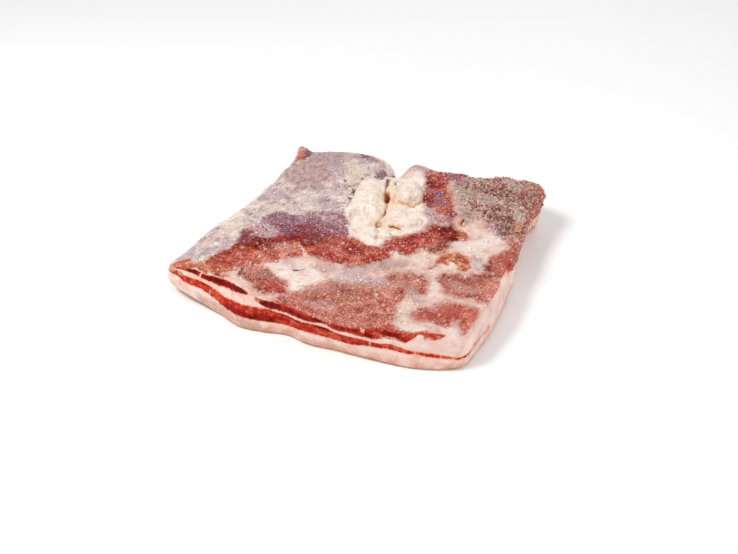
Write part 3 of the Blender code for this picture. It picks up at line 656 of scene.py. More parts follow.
# Layers of lean on the cut sides: their lower and upper edges, in hundredths of the side's height, at even
# steps along the side. Front and back run from left to right, left and right from front to back.
LEAN_LAYERS = {
    "front": (
        ((66, 60, 42, 39, 40, 36, 30, 29, 30, 33, 37, 37, 38,
          41, 43, 45, 44, 42, 45, 45, 47, 44, 42, 37, 36, 33),
         (68, 69, 61, 58, 57, 55, 50, 57, 60, 68, 76, 71, 70,
          69, 74, 80, 72, 70, 66, 58, 64, 55, 49, 45, 42, 37)),
        ((84, 80, 76, 71, 67, 69, 74, 78, 85, 98, 82, 77, 77,
          76, 79, 94, 82, 83, 74, 71, 85, 74, 97, 82, 101, 104),
         (84, 84, 85, 82, 78, 84, 91, 95, 98, 98, 106, 97, 106,
          104, 106, 106, 106, 106, 100, 106, 106, 106, 106, 106, 99, 96)),
    ),
    "right": (
        ((33, 40, 44, 50, 64, 90, 62, 40, 34, 32, 34, 38, 44),
         (38, 38, 40, 46, 58, 92, 110, 112, 112, 112, 112, 110, 108)),
    ),
    "back": (
        ((40, 36, 34, 40, 44, 42, 36, 34, 38, 44, 46, 44, 42),
         (58, 60, 56, 54, 62, 66, 62, 56, 60, 70, 76, 92, 108)),
        ((78, 80, 76, 74, 84, 88, 78, 74, 78, 84, 88, 84, 80),
         (86, 90, 88, 80, 90, 96, 92, 90, 98, 106, 106, 106, 108)),
    ),
    "left": (
        ((62, 50, 44, 42, 46, 48, 44, 40, 40), (72, 66, 62, 64, 68, 64, 60, 60, 58)),
        ((80, 78, 76, 80, 82, 78, 76, 78, 78), (84, 86, 88, 86, 86, 88, 90, 88, 86)),
    ),
}
LAYER_SOFTNESS = 0.06
LAYER_BREAKS = {  # fat that cuts through a layer: share along the side, height share, half width in cm
    "front": (
        (0.187, 0.44, 0.06), (0.192, 0.54, 0.06), (0.146, 0.74, 0.07), (0.722, 0.97, 0.12),
        (0.752, 0.88, 0.07), (0.742, 0.56, 0.08), (0.868, 0.49, 0.03), (0.935, 0.43, 0.03),
    ),
    "right": (),
    "back": ((0.31, 0.50, 0.05), (0.62, 0.84, 0.06)),
    "left": ((0.44, 0.55, 0.05),),
}
SIDES = ("front", "right", "back", "left")
SIDE_LENGTH = {"front": 27, "right": 24, "back": 26, "left": 24}  # centimetres
SIDE_HEIGHT = 3.4
SIDE_STROKES = {  # strokes on the sides, in centimetres along the side and up
    "front": {
        "dark": (
            ((2.7, 2.66), (3.7, 2.64), 0.34, 1.0),
            ((3.2, 3.2), (4.6, 3.2), 0.3, 1.0),
            ((4.2, 2.42), (5.0, 2.56), 0.3, 0.9),
            ((5.3, 2.62), (6.6, 2.80), (7.6, 2.92), (8.8, 3.16), 0.42, 1.0),
            ((10.6, 3.2), (11.4, 3.0), (12.0, 2.9), 0.5, 1.0),
            ((12.7, 3.06), (13.6, 2.94), (14.8, 2.88), 0.4, 0.9),
            ((15.2, 3.08), (16.2, 3.3), 0.35, 0.9),
            ((17.2, 3.2), (18.6, 3.2), (19.4, 3.1), 0.4, 0.55),
            ((19.6, 2.84), (20.0, 2.6), 0.3, 0.8),
            ((21.1, 3.3), (21.7, 3.2), 0.5, 1.0),
            ((22.1, 2.95), (22.9, 2.65), 0.3, 0.7),
            ((9.6, 1.4), (10.4, 1.62), (11.2, 1.46), 0.5, 0.75),
            ((6.9, 1.15), (8.1, 1.3), (9.2, 1.3), 0.35, 0.6),
            ((13.3, 2.3), (14.3, 2.22), 0.2, 0.7),
            ((15.4, 2.56), (16.8, 2.56), 0.24, 0.6),
            ((11.6, 1.7), (12.8, 1.75), 0.3, 0.35),
        ),
        "pale": (
            ((5.1, 1.6), (6.0, 1.5), 0.4, 0.7),
            ((2.3, 1.7), (3.2, 1.6), 0.4, 0.4),
            ((9.2, 1.7), (9.5, 1.75), 0.25, 0.5),
            ((12.6, 1.95), (13.8, 1.9), 0.25, 0.5),
            ((15.4, 2.05), (17.4, 1.95), 0.45, 0.9),
            ((21.0, 2.0), (22.8, 1.85), 0.40, 0.9),
            ((23.4, 1.7), (26.4, 1.35), 0.4, 0.5),
            ((24.2, 3.05), (25.2, 3.0), 0.3, 0.6),
            ((20.3, 3.1), (20.9, 2.9), 0.3, 0.4),
        ),
        "stain": (
            ((0.6, 2.5), (1.4, 2.3), (2.2, 2.1), 0.30, 0.9),
            ((0.8, 3.2), (2.0, 3.1), (3.0, 3.2), 0.45, 0.7),
            ((2.4, 2.9), (3.2, 3.2), (4.2, 3.2), 0.3, 0.7),
            ((4.2, 3.2), (5.6, 3.3), 0.36, 0.8),
            ((3.8, 2.96), (4.4, 2.9), 0.3, 0.7),
            ((5.2, 3.05), (6.2, 3.2), 0.25, 0.7),
            ((20.6, 2.9), (20.9, 2.7), 0.25, 0.6),
            ((10.0, 3.2), (10.6, 3.3), 0.25, 0.5),
            ((24.1, 3.4), (24.2, 2.9), 0.16, 0.6),
            ((24.8, 3.4), (25.2, 3.0), 0.25, 0.5),
            ((23.2, 3.4), (23.3, 3.1), 0.12, 0.5),
            ((21.3, 2.7), (22.4, 2.75), 0.18, 0.5),
        ),
        "pit": (((5.4, 3.15), (5.9, 3.2), 0.16, 0.8), ((20.2, 1.95), (20.3, 1.8), 0.12, 0.3)),
        "brown_pink": (
            ((4.0, 0.5), (6.6, 0.7), (10.0, 0.6), 0.7, 0.35),
            ((13.0, 0.6), (17.0, 0.7), 0.6, 0.25),
        ),
        "mauve": (((24.6, 2.4), (25.6, 2.2), 0.5, 0.2), ((2.2, 0.9), (4.0, 1.0), 0.5, 0.2)),
    },
    "right": {
        "dark": (((12.4, 3.3), (13.4, 2.6), 0.3, 0.3), ((16.8, 3.0), (18.6, 1.8), 0.7, 0.35)),
        "stain": (
            ((12.7, 3.4), (13.6, 2.9), (14.8, 2.1), 0.3, 0.8),
            ((0.8, 1.15), (2.4, 1.3), (4.6, 1.15), 0.35, 0.35),
            ((10.0, 3.2), (11.2, 2.6), 0.5, 0.35),
        ),
        "pale": (((14.4, 2.8), (15.6, 2.0), 0.5, 0.6), ((16.0, 3.0), (17.0, 2.2), 0.4, 0.5)),
        "mauve": (((2.4, 2.2), (5.4, 1.9), (8.6, 2.0), 1.0, 0.16),),
        "lilac": (((3.0, 2.0), (6.0, 2.4), (9.0, 1.8), 1.1, 0.22),),
    },
    "back": {
        "dark": (
            ((4.0, 1.5), (6.4, 1.6), (9.0, 1.5), 0.4, 0.8),
            ((2.0, 2.8), (5.0, 2.7), 0.3, 0.8),
            ((14.0, 2.9), (17.5, 2.7), 0.35, 0.9),
            ((17.0, 2.0), (21.0, 1.9), 0.5, 0.7),
        ),
        "pale": (
            ((0.5, 1.7), (3.0, 1.6), 0.4, 0.8),
            ((10.5, 1.8), (14.5, 1.6), 0.5, 0.9),
            ((8.0, 2.9), (11.0, 2.8), 0.3, 0.7),
        ),
        "stain": (((6.6, 2.9), (8.0, 2.8), 0.25, 0.6), ((15.0, 1.5), (16.6, 1.6), 0.25, 0.5)),
    },
    "left": {
        "dark": (
            ((5.0, 1.9), (9.0, 1.9), 0.4, 0.8),
            ((15.0, 2.8), (20.0, 2.8), 0.3, 0.9),
            ((18.0, 1.7), (21.0, 1.7), 0.3, 0.6),
        ),
        "pale": (
            ((11.0, 1.9), (16.0, 1.8), 0.4, 0.8),
            ((1.5, 2.3), (4.0, 1.9), 0.4, 0.7),
            ((7.0, 2.8), (12.0, 2.8), 0.25, 0.7),
        ),
        "stain": (((1.0, 2.9), (4.5, 2.8), 0.3, 0.8), ((21.5, 2.8), (23.5, 2.7), 0.3, 0.7)),
    },
}
SALTED_SIDES = {"right": (10.0, 4.0), "back": (20.5, 3.5)}  # where it starts and its fade, in centimetres
RIND_HEIGHT, RIND_EDGE, RIND_WANDER = 0.26, 0.12, 0.3  # centimetres, and a share of the wandering
LOW_FAT_HEIGHT, LOW_FAT_EDGE, LOW_FAT_WANDER = 1.25, 1.1, 1.5  # the tan painted low on the sides, a painted warm reflection, likewise
LOW_FAT_LEAST = 0.35  # its share near a side's first corner
LOW_FAT_RUN = (3, 5)  # where it starts to grow from there and over what length, in centimetres
CUT_REACH = 0.6  # share of the rounded edge over which a cut side turns into the top
CUT_MARGIN = 0.2  # share of that reach that is still all cut side

SKIN_SOFTNESS = 0.25  # centimetres, as for the lean
KNOB_FAT_SOFTNESS = 0.20
LEAN_LIMIT = 3  # softnesses inside or outside an outline after which nothing changes
VEIN_DEPTH = 5  # softnesses that a vein of fat cuts into the lean
DULL_PATCHES = ("broad_lean", "small_patch")
HALF_DULL_PATCHES = ("right_patch", "right_corner", "right_edge")
HALF_DULL, SLIGHTLY_DULL, DULL_RIGHT_SIDE = 0.75, 0.3, 0.35
CRUST_ON_SIDES = 0.45
SALT_ON = {"all": 0.03, "lean": 0.15, "dull": 0.18, "crust": 0.6, "skin": 0.04, "salted": 0.40, "sides": 0.6}
SALT_OFF_BARE = 0.8  # share of the salt that bare strokes take away
LEAN_SINKS, PIT_DEPTH, STAIN_SINKS = 0.40, 1.2, 0.25  # millimetres of relief, as are the next ones
SKIN_FOLDS, FIBRE_RELIEF = 0.20, 0.12

FARTHEST = 1.2  # distances to outlines are worked out up to this many centimetres
LINE_STEP = 0.3  # centimetres between the points of a smooth line
STROKE_FIRMNESS = 1.3  # above 1, the middle of a stroke covers fully
BREAK_WIDTH = 0.35  # of its height, for fat that cuts through a layer
WANDER = 0.20  # how far edges and strokes wander, in centimetres
LAYER_WANDER, SIDE_STROKE_WANDER = 0.6, 0.4  # shares of it on the cut sides
NOISE_GAIN = 1.6  # brings the noise to about -1 to 1
SEED_STEP = 7.31  # the next seed's noise is read this many features further on


def smooth_line(points, closed=False):
    """Points along a smooth curve through the given ones."""
    points = np.array(points, float)
    if closed:
        points = np.vstack([points[-1:], points, points[:2]])
    else:
        points = np.vstack([2 * points[0] - points[1], points, 2 * points[-1] - points[-2]])
    runs = []
    for a, b, c, d in zip(points[:-3], points[1:-2], points[2:-1], points[3:]):
        steps = max(1, int(math.dist(b, c) / LINE_STEP))
        f = (np.arange(steps) / steps)[:, None]
        runs.append(b + 0.5 * f * (c - a + f * (2 * a - 5 * b + 4 * c - d + f * (3 * (b - c) + d - a))))
    runs.append(points[-2:-1])
    return np.vstack(runs)


def distance_to(line, points, reach=FARTHEST):
    """The distance from each point to the line, no more than reach."""
    found = np.full(len(points), float(reach))
    near = np.all((points > line.min(0) - reach) & (points < line.max(0) + reach), axis=1)
    here = points[near]
    nearest = np.full(len(here), float(reach))
    for start, end in zip(line[:-1], line[1:]):
        span = end - start
        share = np.clip(((here - start) @ span) / (span @ span + ALMOST_ZERO), 0, 1)
        away = here - start - share[:, None] * span
        nearest = np.minimum(nearest, np.hypot(away[:, 0], away[:, 1]))
    found[near] = nearest
    return found


def depth_inside(outline, points):
    """How far each point lies inside the closed outline; negative outside."""
    line = smooth_line(outline, closed=True)
    crossings = np.zeros(len(points), int)
    x, y = points[:, 0], points[:, 1]
    for (x0, y0), (x1, y1) in zip(line[:-1], line[1:]):
        straddles = (y0 > y) != (y1 > y)
        crossings += straddles & (x < x0 + (y - y0) * (x1 - x0) / (y1 - y0 + ALMOST_ZERO))
    return distance_to(line, points) * np.where(crossings % 2 == 1, 1, -1)


def strokes_over(strokes, points):
    """How strongly each point is covered by the strokes, 0 to 1."""
    bare = np.ones(len(points))
    for *line, half_width, strength in strokes:
        away = distance_to(smooth_line(line), points, half_width)
        bare *= 1 - strength * smooth(STROKE_FIRMNESS * (1 - away / half_width))
    return 1 - bare


def noise_at(places, size, seed, stretch=(1, 1, 1)):
    """Noise of about -1 to 1 at each place, with features of the given size."""
    scaled = places / size / np.array(stretch) + seed * SEED_STEP
    return np.array([noise.noise(Vector(p)) for p in scaled]) * NOISE_GAIN


def wandering(places, size, seed, amount):
    """A shift in plan for each place, of about the given amount at most, that changes over the given size."""
    return np.stack([noise_at(places, size, seed), noise_at(places, size, seed + 1)], -1) * amount


def inside(depth):
    """0 to 1 across the edge of an outline; the depth inside it is counted in its softness."""
    return smooth(depth * 0.5 + 0.5)


# ---------------------------------------------------------------------------------------------------------
# The slab
# ---------------------------------------------------------------------------------------------------------


def deselect_everything():
    """Leaves nothing selected, so that the next modelling step touches only its own object."""
    for obj in bpy.context.view_layer.objects:
        obj.select_set(False)


def model_block():
    """A sheet of cells pulled up in layers to a unit block."""
    deselect_everything()
    cells = {"x_subdivisions": CELLS_X, "y_subdivisions": CELLS_Y}
    bpy.ops.mesh.primitive_grid_add(**cells, size=1, location=(0, 0, 0))
    block = bpy.context.object
    block.name = "belly_slab"
    bpy.ops.object.mode_set(mode="EDIT")
    for _ in range(LAYERS):
        bpy.ops.mesh.extrude_region_move(TRANSFORM_OT_translate={"value": (0, 0, 1 / LAYERS)})
    bpy.ops.mesh.select_all(action="SELECT")
    bpy.ops.mesh.normals_make_consistent(inside=False)
    bpy.ops.object.mode_set(mode="OBJECT")
    return block


def get_points(mesh):
    """The points of a mesh as rows of x, y and z."""
    co = np.empty(len(mesh.vertices) * 3)
    mesh.vertices.foreach_get("co", co)
    return co.reshape(-1, 3)


def get_normals(mesh):
    """The direction straight out of the mesh at each point."""
    directions = np.empty(len(mesh.vertices) * 3)
    mesh.vertices.foreach_get("normal", directions)
    return directions.reshape(-1, 3)


def set_points(mesh, points):
    """Moves the points of a mesh to the given rows."""
    mesh.vertices.foreach_set("co", points.ravel())
    mesh.update()


def set_attribute(mesh, name, values):
    """Holds one number for each point of the mesh under a name."""
    attribute = mesh.attributes.new(name, "FLOAT", "POINT")
    attribute.data.foreach_set("value", values.astype(np.float32))


def get_attribute(mesh, name):
    """The numbers that the mesh holds for its points under that name."""
    values = np.empty(len(mesh.vertices), np.float32)
    mesh.attributes[name].data.foreach_get("value", values)
    return values.astype(float)


class Places:
    """Where each point of the slab lies: on the top, on a cut side and how far along it, or underneath."""

    def __init__(self, u, v, w):
        self.points = slab_points(u, v, w)
        a, b, depth = round_corners(2 * u - 1, 2 * v - 1)
        x, y, z = self.points.T
        top, foot = top_height(a, b, x, y), underside(x, y)
        edge = np.maximum(edge_radius(a, b), ALMOST_ZERO)
        self.cut = np.where(w == 1, 1 - smooth(depth / (CUT_REACH * edge) - CUT_MARGIN), 1.0)
        self.under = np.where(w == 0, smooth(depth / (2 * FOOT_RADIUS)), 0.0)
        spans = np.array([SIDE_LENGTH["left"], SIDE_LENGTH["front"]] * 2)
        self.side = np.argmin(np.stack([v, 1 - u, 1 - v, u]) * spans[:, None], axis=0)
        lengths = np.array([SIDE_LENGTH[side] for side in SIDES])
        self.run = np.where(self.side % 2 == 0, u, v) * lengths[self.side]
        self.rise = np.clip((z - foot) / (top - foot), 0, 1) * SIDE_HEIGHT
        self.plan = self.points[:, :2] / CM


def lean_on_sides(places, wander):
    """How far each point lies inside a layer of lean on its cut side, in steps of the layers' softness."""
    depth = np.full(len(places.run), -FARTHEST)
    for index, side in enumerate(SIDES):
        mine = places.side == index
        run = (places.run[mine] + wander[mine]) / SIDE_LENGTH[side]
        height = places.rise[mine] / SIDE_HEIGHT
        found = np.full(mine.sum(), -FARTHEST)
        for lower, upper in LEAN_LAYERS[side]:
            low, high = along(lower, run) / 100, along(upper, run) / 100
            found = np.maximum(found, np.minimum(height - low, high - height) * SIDE_HEIGHT)
        for middle, level, half_width in LAYER_BREAKS[side]:
            away = np.hypot((run - middle) * SIDE_LENGTH[side], (height - level) * BREAK_WIDTH * SIDE_HEIGHT)
            found = np.minimum(found, away - half_width)
        depth[mine] = found
    return depth / LAYER_SOFTNESS


def strokes_on_sides(places, name, wander):
    """How strongly the strokes of that name cover each point of the cut sides."""
    cover = np.zeros(len(places.run))
    spots = np.stack([places.run, places.rise], -1) + wander * SIDE_STROKE_WANDER
    for index, side in enumerate(SIDES):
        mine = places.side == index
        cover[mine] = strokes_over(SIDE_STROKES[side].get(name, ()), spots[mine])
    return cover


def salted_sides(places):
    """How far each point of the cut sides is salted like the top, 0 to 1."""
    salted = np.zeros(len(places.run))
    for side, (start, length) in SALTED_SIDES.items():
        salted += (places.side == SIDES.index(side)) * smooth((places.run - start) / length)
    return salted * places.cut


def dullness(depths, places, salted_side):
    """How dull the lean is, 0 to 1."""
    dull = np.max([depths[name] for name in DULL_PATCHES], axis=0)
    half_dull = np.max([depths[name] for name in HALF_DULL_PATCHES], axis=0)
    on_top = np.maximum(inside(dull), HALF_DULL * inside(half_dull))
    on_top = np.maximum(on_top, SLIGHTLY_DULL) * (1 - places.cut)
    on_right = DULL_RIGHT_SIDE * (places.side == SIDES.index("right")) * places.cut
    return np.maximum(on_top, np.maximum(salted_side, on_right))


def find_fields(places):
    """What covers each point: one array of numbers for each kind of flesh or mark."""
    spots = places.points
    wander = wandering(spots, 9 * MM, 1, WANDER) + wandering(spots, 3 * MM, 3, WANDER / 2)
    plan_spots = places.plan + wander
    cut, top = places.cut, 1 - places.cut
    depths = {}
    for name, (softness, outline) in LEAN_ON_TOP.items():
        depths[name] = depth_inside(outline, plan_spots) / softness
    veins = strokes_over(STROKES["veins"], plan_spots)
    lean_top = np.minimum(np.max(list(depths.values()), axis=0), LEAN_LIMIT) - VEIN_DEPTH * veins
    lean_side = lean_on_sides(places, wander[:, 0] * LAYER_WANDER)
    lean = np.clip(lean_top, -LEAN_LIMIT, LEAN_LIMIT) * top
    lean += np.clip(lean_side, -LEAN_LIMIT, LEAN_LIMIT) * cut
    fields = {"lean": lean, "cut": cut, "under": places.under}
    for name, strokes in STROKES.items():
        on_top, on_sides = strokes_over(strokes, plan_spots), strokes_on_sides(places, name, wander)
        fields[name] = on_top * top + on_sides * cut
    salted_side = salted_sides(places)
    fields["skin"] = inside(depth_inside(SKIN_OUTLINE, plan_spots) / SKIN_SOFTNESS) * top
    fields["knob_fat"] = inside(depth_inside(KNOB_FAT, plan_spots) / KNOB_FAT_SOFTNESS) * top
    fields["crust"] = np.maximum(inside(depths["crusted_back"]) * top, CRUST_ON_SIDES * salted_side)
    fields["dull"] = dullness(depths, places, salted_side)
    rind = smooth((RIND_HEIGHT - places.rise + wander[:, 0] * RIND_WANDER) / RIND_EDGE)
    fields["rind"] = rind * cut * (1 - places.under)
    # The low field: a tan painted low on the cut sides, a painted warm reflection near the foot.
    low = smooth((LOW_FAT_HEIGHT - places.rise + wander[:, 1] * LOW_FAT_WANDER) / LOW_FAT_EDGE)
    growth = smooth((places.run - LOW_FAT_RUN[0]) / LOW_FAT_RUN[1])
    fields["low"] = low * cut * (LOW_FAT_LEAST + (1 - LOW_FAT_LEAST) * growth)
    fields["salt"] = salt_cover(fields, lean_top, salted_side, spots)
    return fields


def salt_cover(fields, lean_top, salted_side, spots):
    """How thickly the salt lies, 0 to 1."""
    top = 1 - fields["cut"]
    lean = inside(lean_top)
    cover = SALT_ON["all"] + SALT_ON["lean"] * lean + SALT_ON["dull"] * fields["dull"] * lean
    for name in ("crust", "skin", "salted"):
        cover += SALT_ON[name] * fields[name]
    cover *= 1 - SALT_OFF_BARE * fields["bare"]
    clumps = 1 + 0.7 * noise_at(spots, 10 * MM, 31) + 0.5 * noise_at(spots, 4 * MM, 32)
    cover = cover * clumps * top + SALT_ON["sides"] * salted_side * fields["cut"]
    return np.clip(cover, 0, 1) * (1 - fields["under"])


def relief_height(places, fields):
    """How far each point stands out from the slab's plain form, in metres."""
    spots = places.points
    lean, cut = inside(fields["lean"]), fields["cut"]
    grains = noise_at(spots, 2.1 * MM, 12)
    crumbs = noise_at(spots, 3.8 * MM, 13)
    lumps = noise_at(spots, 8 * MM, 14)
    folds = 1 - np.abs(noise_at(spots, 7 * MM, 16, (0.6, 1.8, 1))) * 2
    height = -LEAN_SINKS * lean * (1 - 0.4 * cut)
    height += (0.30 * lumps + 0.12 * grains) * (1 - 0.6 * cut)
    height += fields["salt"] * (0.34 * grains + 0.30 * crumbs)
    height += fields["crust"] * (0.38 * grains + 0.68 * crumbs)
    height += fields["skin"] * SKIN_FOLDS * folds
    height += cut * FIBRE_RELIEF * noise_at(spots, 2.6 * MM, 17, (2.5, 2.5, 0.6))
    height -= PIT_DEPTH * fields["pit"]
    height -= STAIN_SINKS * fields["stain"] * (1 - cut)
    return height * MM * (1 - places.under)


UNDERSIDE_ANGLE = math.radians(2)
ON_THE_FLOOR = 1e-7  # metres
CREVICE_IN_SLAB = 1.6 * MM
MAP_SIDE = 0.74  # of the flat layout: the top's side, the thickness of a strip and the gap between them
MAP_STRIP = 0.12
MAP_GAP = 0.008


def merge_underside(block):
    """The underside's flat cells, all at z = 0, become one face, and its nearly flat ones larger faces."""
    bm = bmesh.new()
    bm.from_mesh(block.data)
    flat = [face for face in bm.faces if all(abs(vert.co.z) < ON_THE_FLOOR for vert in face.verts)]
    bmesh.ops.dissolve_faces(bm, faces=flat, use_verts=True)
    share_up = bm.verts.layers.float["w"]
    below = {face for face in bm.faces if all(vert[share_up] == 0 for vert in face.verts)}
    verts = [vert for vert in bm.verts if below.issuperset(vert.link_faces)]
    edges = [edge for edge in bm.edges if below.issuperset(edge.link_faces)]
    bmesh.ops.dissolve_limit(bm, angle_limit=UNDERSIDE_ANGLE, verts=verts, edges=edges)
    bmesh.ops.triangulate(bm, faces=[face for face in bm.faces if len(face.verts) > 4])
    bm.to_mesh(block.data)
    bm.free()


def lay_out(mesh):
    """A flat layout: the top, the four sides in strips beside it, and the underside in the corner."""
    u, v, w = (get_attribute(mesh, name) for name in "uvw")
    starts = np.empty(len(mesh.polygons), int)
    mesh.polygons.foreach_get("loop_start", starts)
    corners = np.empty(len(mesh.loops), int)
    mesh.loops.foreach_get("vertex_index", corners)
    face = np.repeat(np.arange(len(starts)), np.diff(np.append(starts, len(corners))))
    u, v, w = u[corners], v[corners], w[corners]
    least = [np.minimum.reduceat(share, starts)[face] for share in (u, v, w)]
    most = [np.maximum.reduceat(share, starts)[face] for share in (u, v, w)]
    first, second = MAP_SIDE + MAP_GAP, MAP_SIDE + 2 * MAP_GAP + MAP_STRIP
    small = 1 - first - MAP_GAP
    flat = np.stack([u, v], -1) * MAP_SIDE
    for on_it, spot in (
        (most[1] == 0, (u * MAP_SIDE, first + w * MAP_STRIP)),
        (least[1] == 1, (u * MAP_SIDE, second + w * MAP_STRIP)),
        (most[0] == 0, (first + w * MAP_STRIP, v * MAP_SIDE)),
        (least[0] == 1, (second + w * MAP_STRIP, v * MAP_SIDE)),
        (most[2] == 0, (first + u * small, first + v * small)),
    ):
        flat[on_it] = np.stack(spot, -1)[on_it]
    layout = mesh.uv_layers.new(name="OFBake")
    layout.uv.foreach_set("vector", flat.ravel().astype(np.float32))


def make_slab():
    """The slab with its relief, its flat layout and its fields."""
    slab = model_block()
    mesh = slab.data
    lattice = get_points(mesh)
    u = finer_at_edges(lattice[:, 0] + 0.5, CELLS_X)
    v = finer_at_edges(lattice[:, 1] + 0.5, CELLS_Y)
    w = np.round(lattice[:, 2] * LAYERS) / LAYERS
    places = Places(u, v, w)
    set_points(mesh, places.points)
    fields = find_fields(places)
    crevice = crevices_over(places.plan) * (1 - places.cut)
    height = relief_height(places, fields) - CREVICE_IN_SLAB * crevice
    set_points(mesh, places.points + get_normals(mesh) * height[:, None])
    # The crevice field also says where brown is painted: partly the fat's own colour, partly painted shade.
    fields["crevice"] = crevice
    for name, values in {**fields, "u": u, "v": v, "w": w}.items():
        set_attribute(mesh, name, values)
    merge_underside(slab)
    lay_out(mesh)
    for name in "uvw":
        mesh.attributes.remove(mesh.attributes[name])
    mesh.shade_smooth()
    mesh.materials.append(cured_meat())
    return slab


# ---------------------------------------------------------------------------------------------------------
# Knobs of fat
# ---------------------------------------------------------------------------------------------------------

CREVICES = (  # folds between and round the knobs: points in centimetres, half width, strength
    ((-1.6, 9.5), (-1.2, 8.3), (-0.8, 7.2), (-0.4, 6.2), 0.16, 0.9),
    ((-0.4, 6.2), (0.0, 5.4), (0.2, 4.9), 0.24, 1.0),
    ((-0.65, 9.3), (-0.5, 8.8), 0.20, 1.0),
    ((-0.5, 8.8), (-0.4, 8.0), (-0.3, 7.0), 0.09, 0.6),
    ((0.2, 4.9), (0.5, 3.9), (0.7, 3.0), 0.10, 0.4),
    ((0.7, 3.0), (0.9, 2.4), (1.1, 1.9), 0.10, 0.7),
    ((1.1, 1.9), (1.15, 1.2), (0.95, 0.4), 0.10, 0.6),
    ((1.3, 4.85), (2.1, 4.75), (2.7, 5.0), 0.07, 0.3),
    ((2.7, 5.0), (3.1, 5.6), (3.2, 6.4), (3.0, 7.2), 0.08, 0.35),
    ((2.0, 0.6), (2.6, 0.55), (3.1, 0.75), 0.05, 0.8),
)
CREVICE_DEPTH = 1.5 * MM
CREVICE_TOP = 40 * MM  # above this the lobes stay clear of crevices
CREVICE_FADE = 5 * MM
CREVICE_SPREAD, NEAR_CREVICE = 1.7, 6  # times the half width
CREVICE_FIRMNESS = 1.15
FAT_WANDER = 0.05  # centimetres
POCK_START, POCK_EDGE = 0.42, 0.25  # levels of noise for the small holes
KNOB_VOXEL = 0.62 * MM
KNOB_SMOOTHING = 9  # rounds


def crevices_over(plan_spots, spread=CREVICE_SPREAD):
    """How deep each place lies in a crevice, 0 to 1."""
    open_share = np.ones(len(plan_spots))
    for *line, half_width, strength in CREVICES:
        away = distance_to(smooth_line(line), plan_spots, half_width * spread)
        open_share *= 1 - strength * smooth(CREVICE_FIRMNESS * (1 - away / (half_width * spread)))
    return 1 - open_share


def place_on_slab(slab, x, y):
    """The height of the slab's top at a place."""
    return slab.ray_cast(Vector((x, y, 1)), Vector((0, 0, -1)))[1].z


def model_knob(number, knob, slab):
    """A lumpy ball of fat, flattened, turned and sunk into the slab."""
    x, y, half_length, half_width, height, turn = knob
    half_height = height / (1 - KNOB_SINK)
    deselect_everything()
    bpy.ops.mesh.primitive_ico_sphere_add(subdivisions=5, radius=1, location=(0, 0, 0))
    ball = bpy.context.object
    points = get_points(ball.data)
    seed = Vector((number * KNOB_SEED, 0, 0))
    lumps = np.array([noise.noise(Vector(p) * KNOB_LUMP + seed) for p in points])
    points = points * (1 + KNOB_ROUGHNESS * 2 * lumps)[:, None]
    size = Matrix.Diagonal((half_length, half_width, half_height, 1))
    place = Matrix.Translation((x, y, place_on_slab(slab, x, y) + height - half_height))
    matrix = np.array(place @ Matrix.Rotation(math.radians(turn), 4, "Z") @ size)
    set_points(ball.data, points @ matrix[:3, :3].T + matrix[:3, 3])
    return ball


def make_fat_knobs(slab):
    """All knobs as one skin of fat."""
    balls = [model_knob(number, knob, slab) for number, knob in enumerate(FAT_KNOBS)]
    deselect_everything()
    for ball in balls:
        ball.select_set(True)
    knobs = balls[0]
    bpy.context.view_layer.objects.active = knobs
    bpy.ops.object.join()
    knobs.name = "fat_knobs"
    remesh = knobs.modifiers.new("one_skin", "REMESH")
    remesh.mode = "VOXEL"
    remesh.voxel_size = KNOB_VOXEL
    bpy.ops.object.modifier_apply(modifier=remesh.name)
    soften = knobs.modifiers.new("soften", "SMOOTH")
    soften.iterations = KNOB_SMOOTHING
    bpy.ops.object.modifier_apply(modifier=soften.name)
    shape_fat(knobs.data)
    knobs.data.shade_smooth()
    knobs.data.materials.append(firm_fat())
    return knobs


def shape_fat(mesh):
    """Soft lobes, dimples and crevices."""
    points, normals = get_points(mesh), get_normals(mesh)
    lobes = noise_at(points, 9 * MM, 21) + 0.5 * noise_at(points, 4.5 * MM, 25)
    dimples = noise_at(points, 2.4 * MM, 22)
    wander = wandering(points, 4 * MM, 23, FAT_WANDER)
    crevice = crevices_over(points[:, :2] / CM + wander)
    crevice *= smooth((CREVICE_TOP - points[:, 2]) / CREVICE_FADE + 0.4)
    pocks = smooth((noise_at(points, 2.9 * MM, 26) - POCK_START) / POCK_EDGE)
    moved = points + normals * ((0.50 * lobes + 0.30 * dimples - 0.45 * pocks) * MM)[:, None]
    moved[:, 2] -= crevice * CREVICE_DEPTH
    set_points(mesh, moved)
    set_attribute(mesh, "crevice", crevice)
    set_attribute(mesh, "pocks", pocks)
    # near_crevice: where a tan is laid round the crevices, partly the fat's own tint and partly painted soft
    # shade.
    set_attribute(mesh, "near_crevice", crevices_over(points[:, :2] / CM + wander * 2, NEAR_CREVICE))


# ---------------------------------------------------------------------------------------------------------
# Salt
# ---------------------------------------------------------------------------------------------------------

COARSE_WHITENESS = (0.12, 0.55)
COARSE_BEVEL = 0.1  # of a crystal's width
SCATTERED_SALT = {
    "fine_salt": dict(count=4200, sizes=(0.6 * MM, 1.5 * MM), sink=0.3, seed=21, whiteness=(0.05, 0.6)),
    "damp_salt": dict(count=3800, sizes=(1.4 * MM, 3.4 * MM), sink=0.5, seed=22, whiteness=(0.05, 0.45)),
}
SIZE_SPREAD = (1.7, 3.2)  # more small grains than large ones
GRAIN_SIDES = (0.62, 1.1)  # least and most, of a grain's size
GRAIN_SHIFT = 0.5 * MM  # off the slab's points
WHITENESS_POWER = 2.5  # few grains are very white
SALT_FLOOR = 3 * MM  # no grain sits lower


def on_membrane(x, y):
    """Whether a place lies on the membrane's side of its edge."""
    (x0, y0), (x1, y1) = MEMBRANE_EDGE
    return (x1 - x0) * (y - y0) > (y1 - y0) * (x - x0)


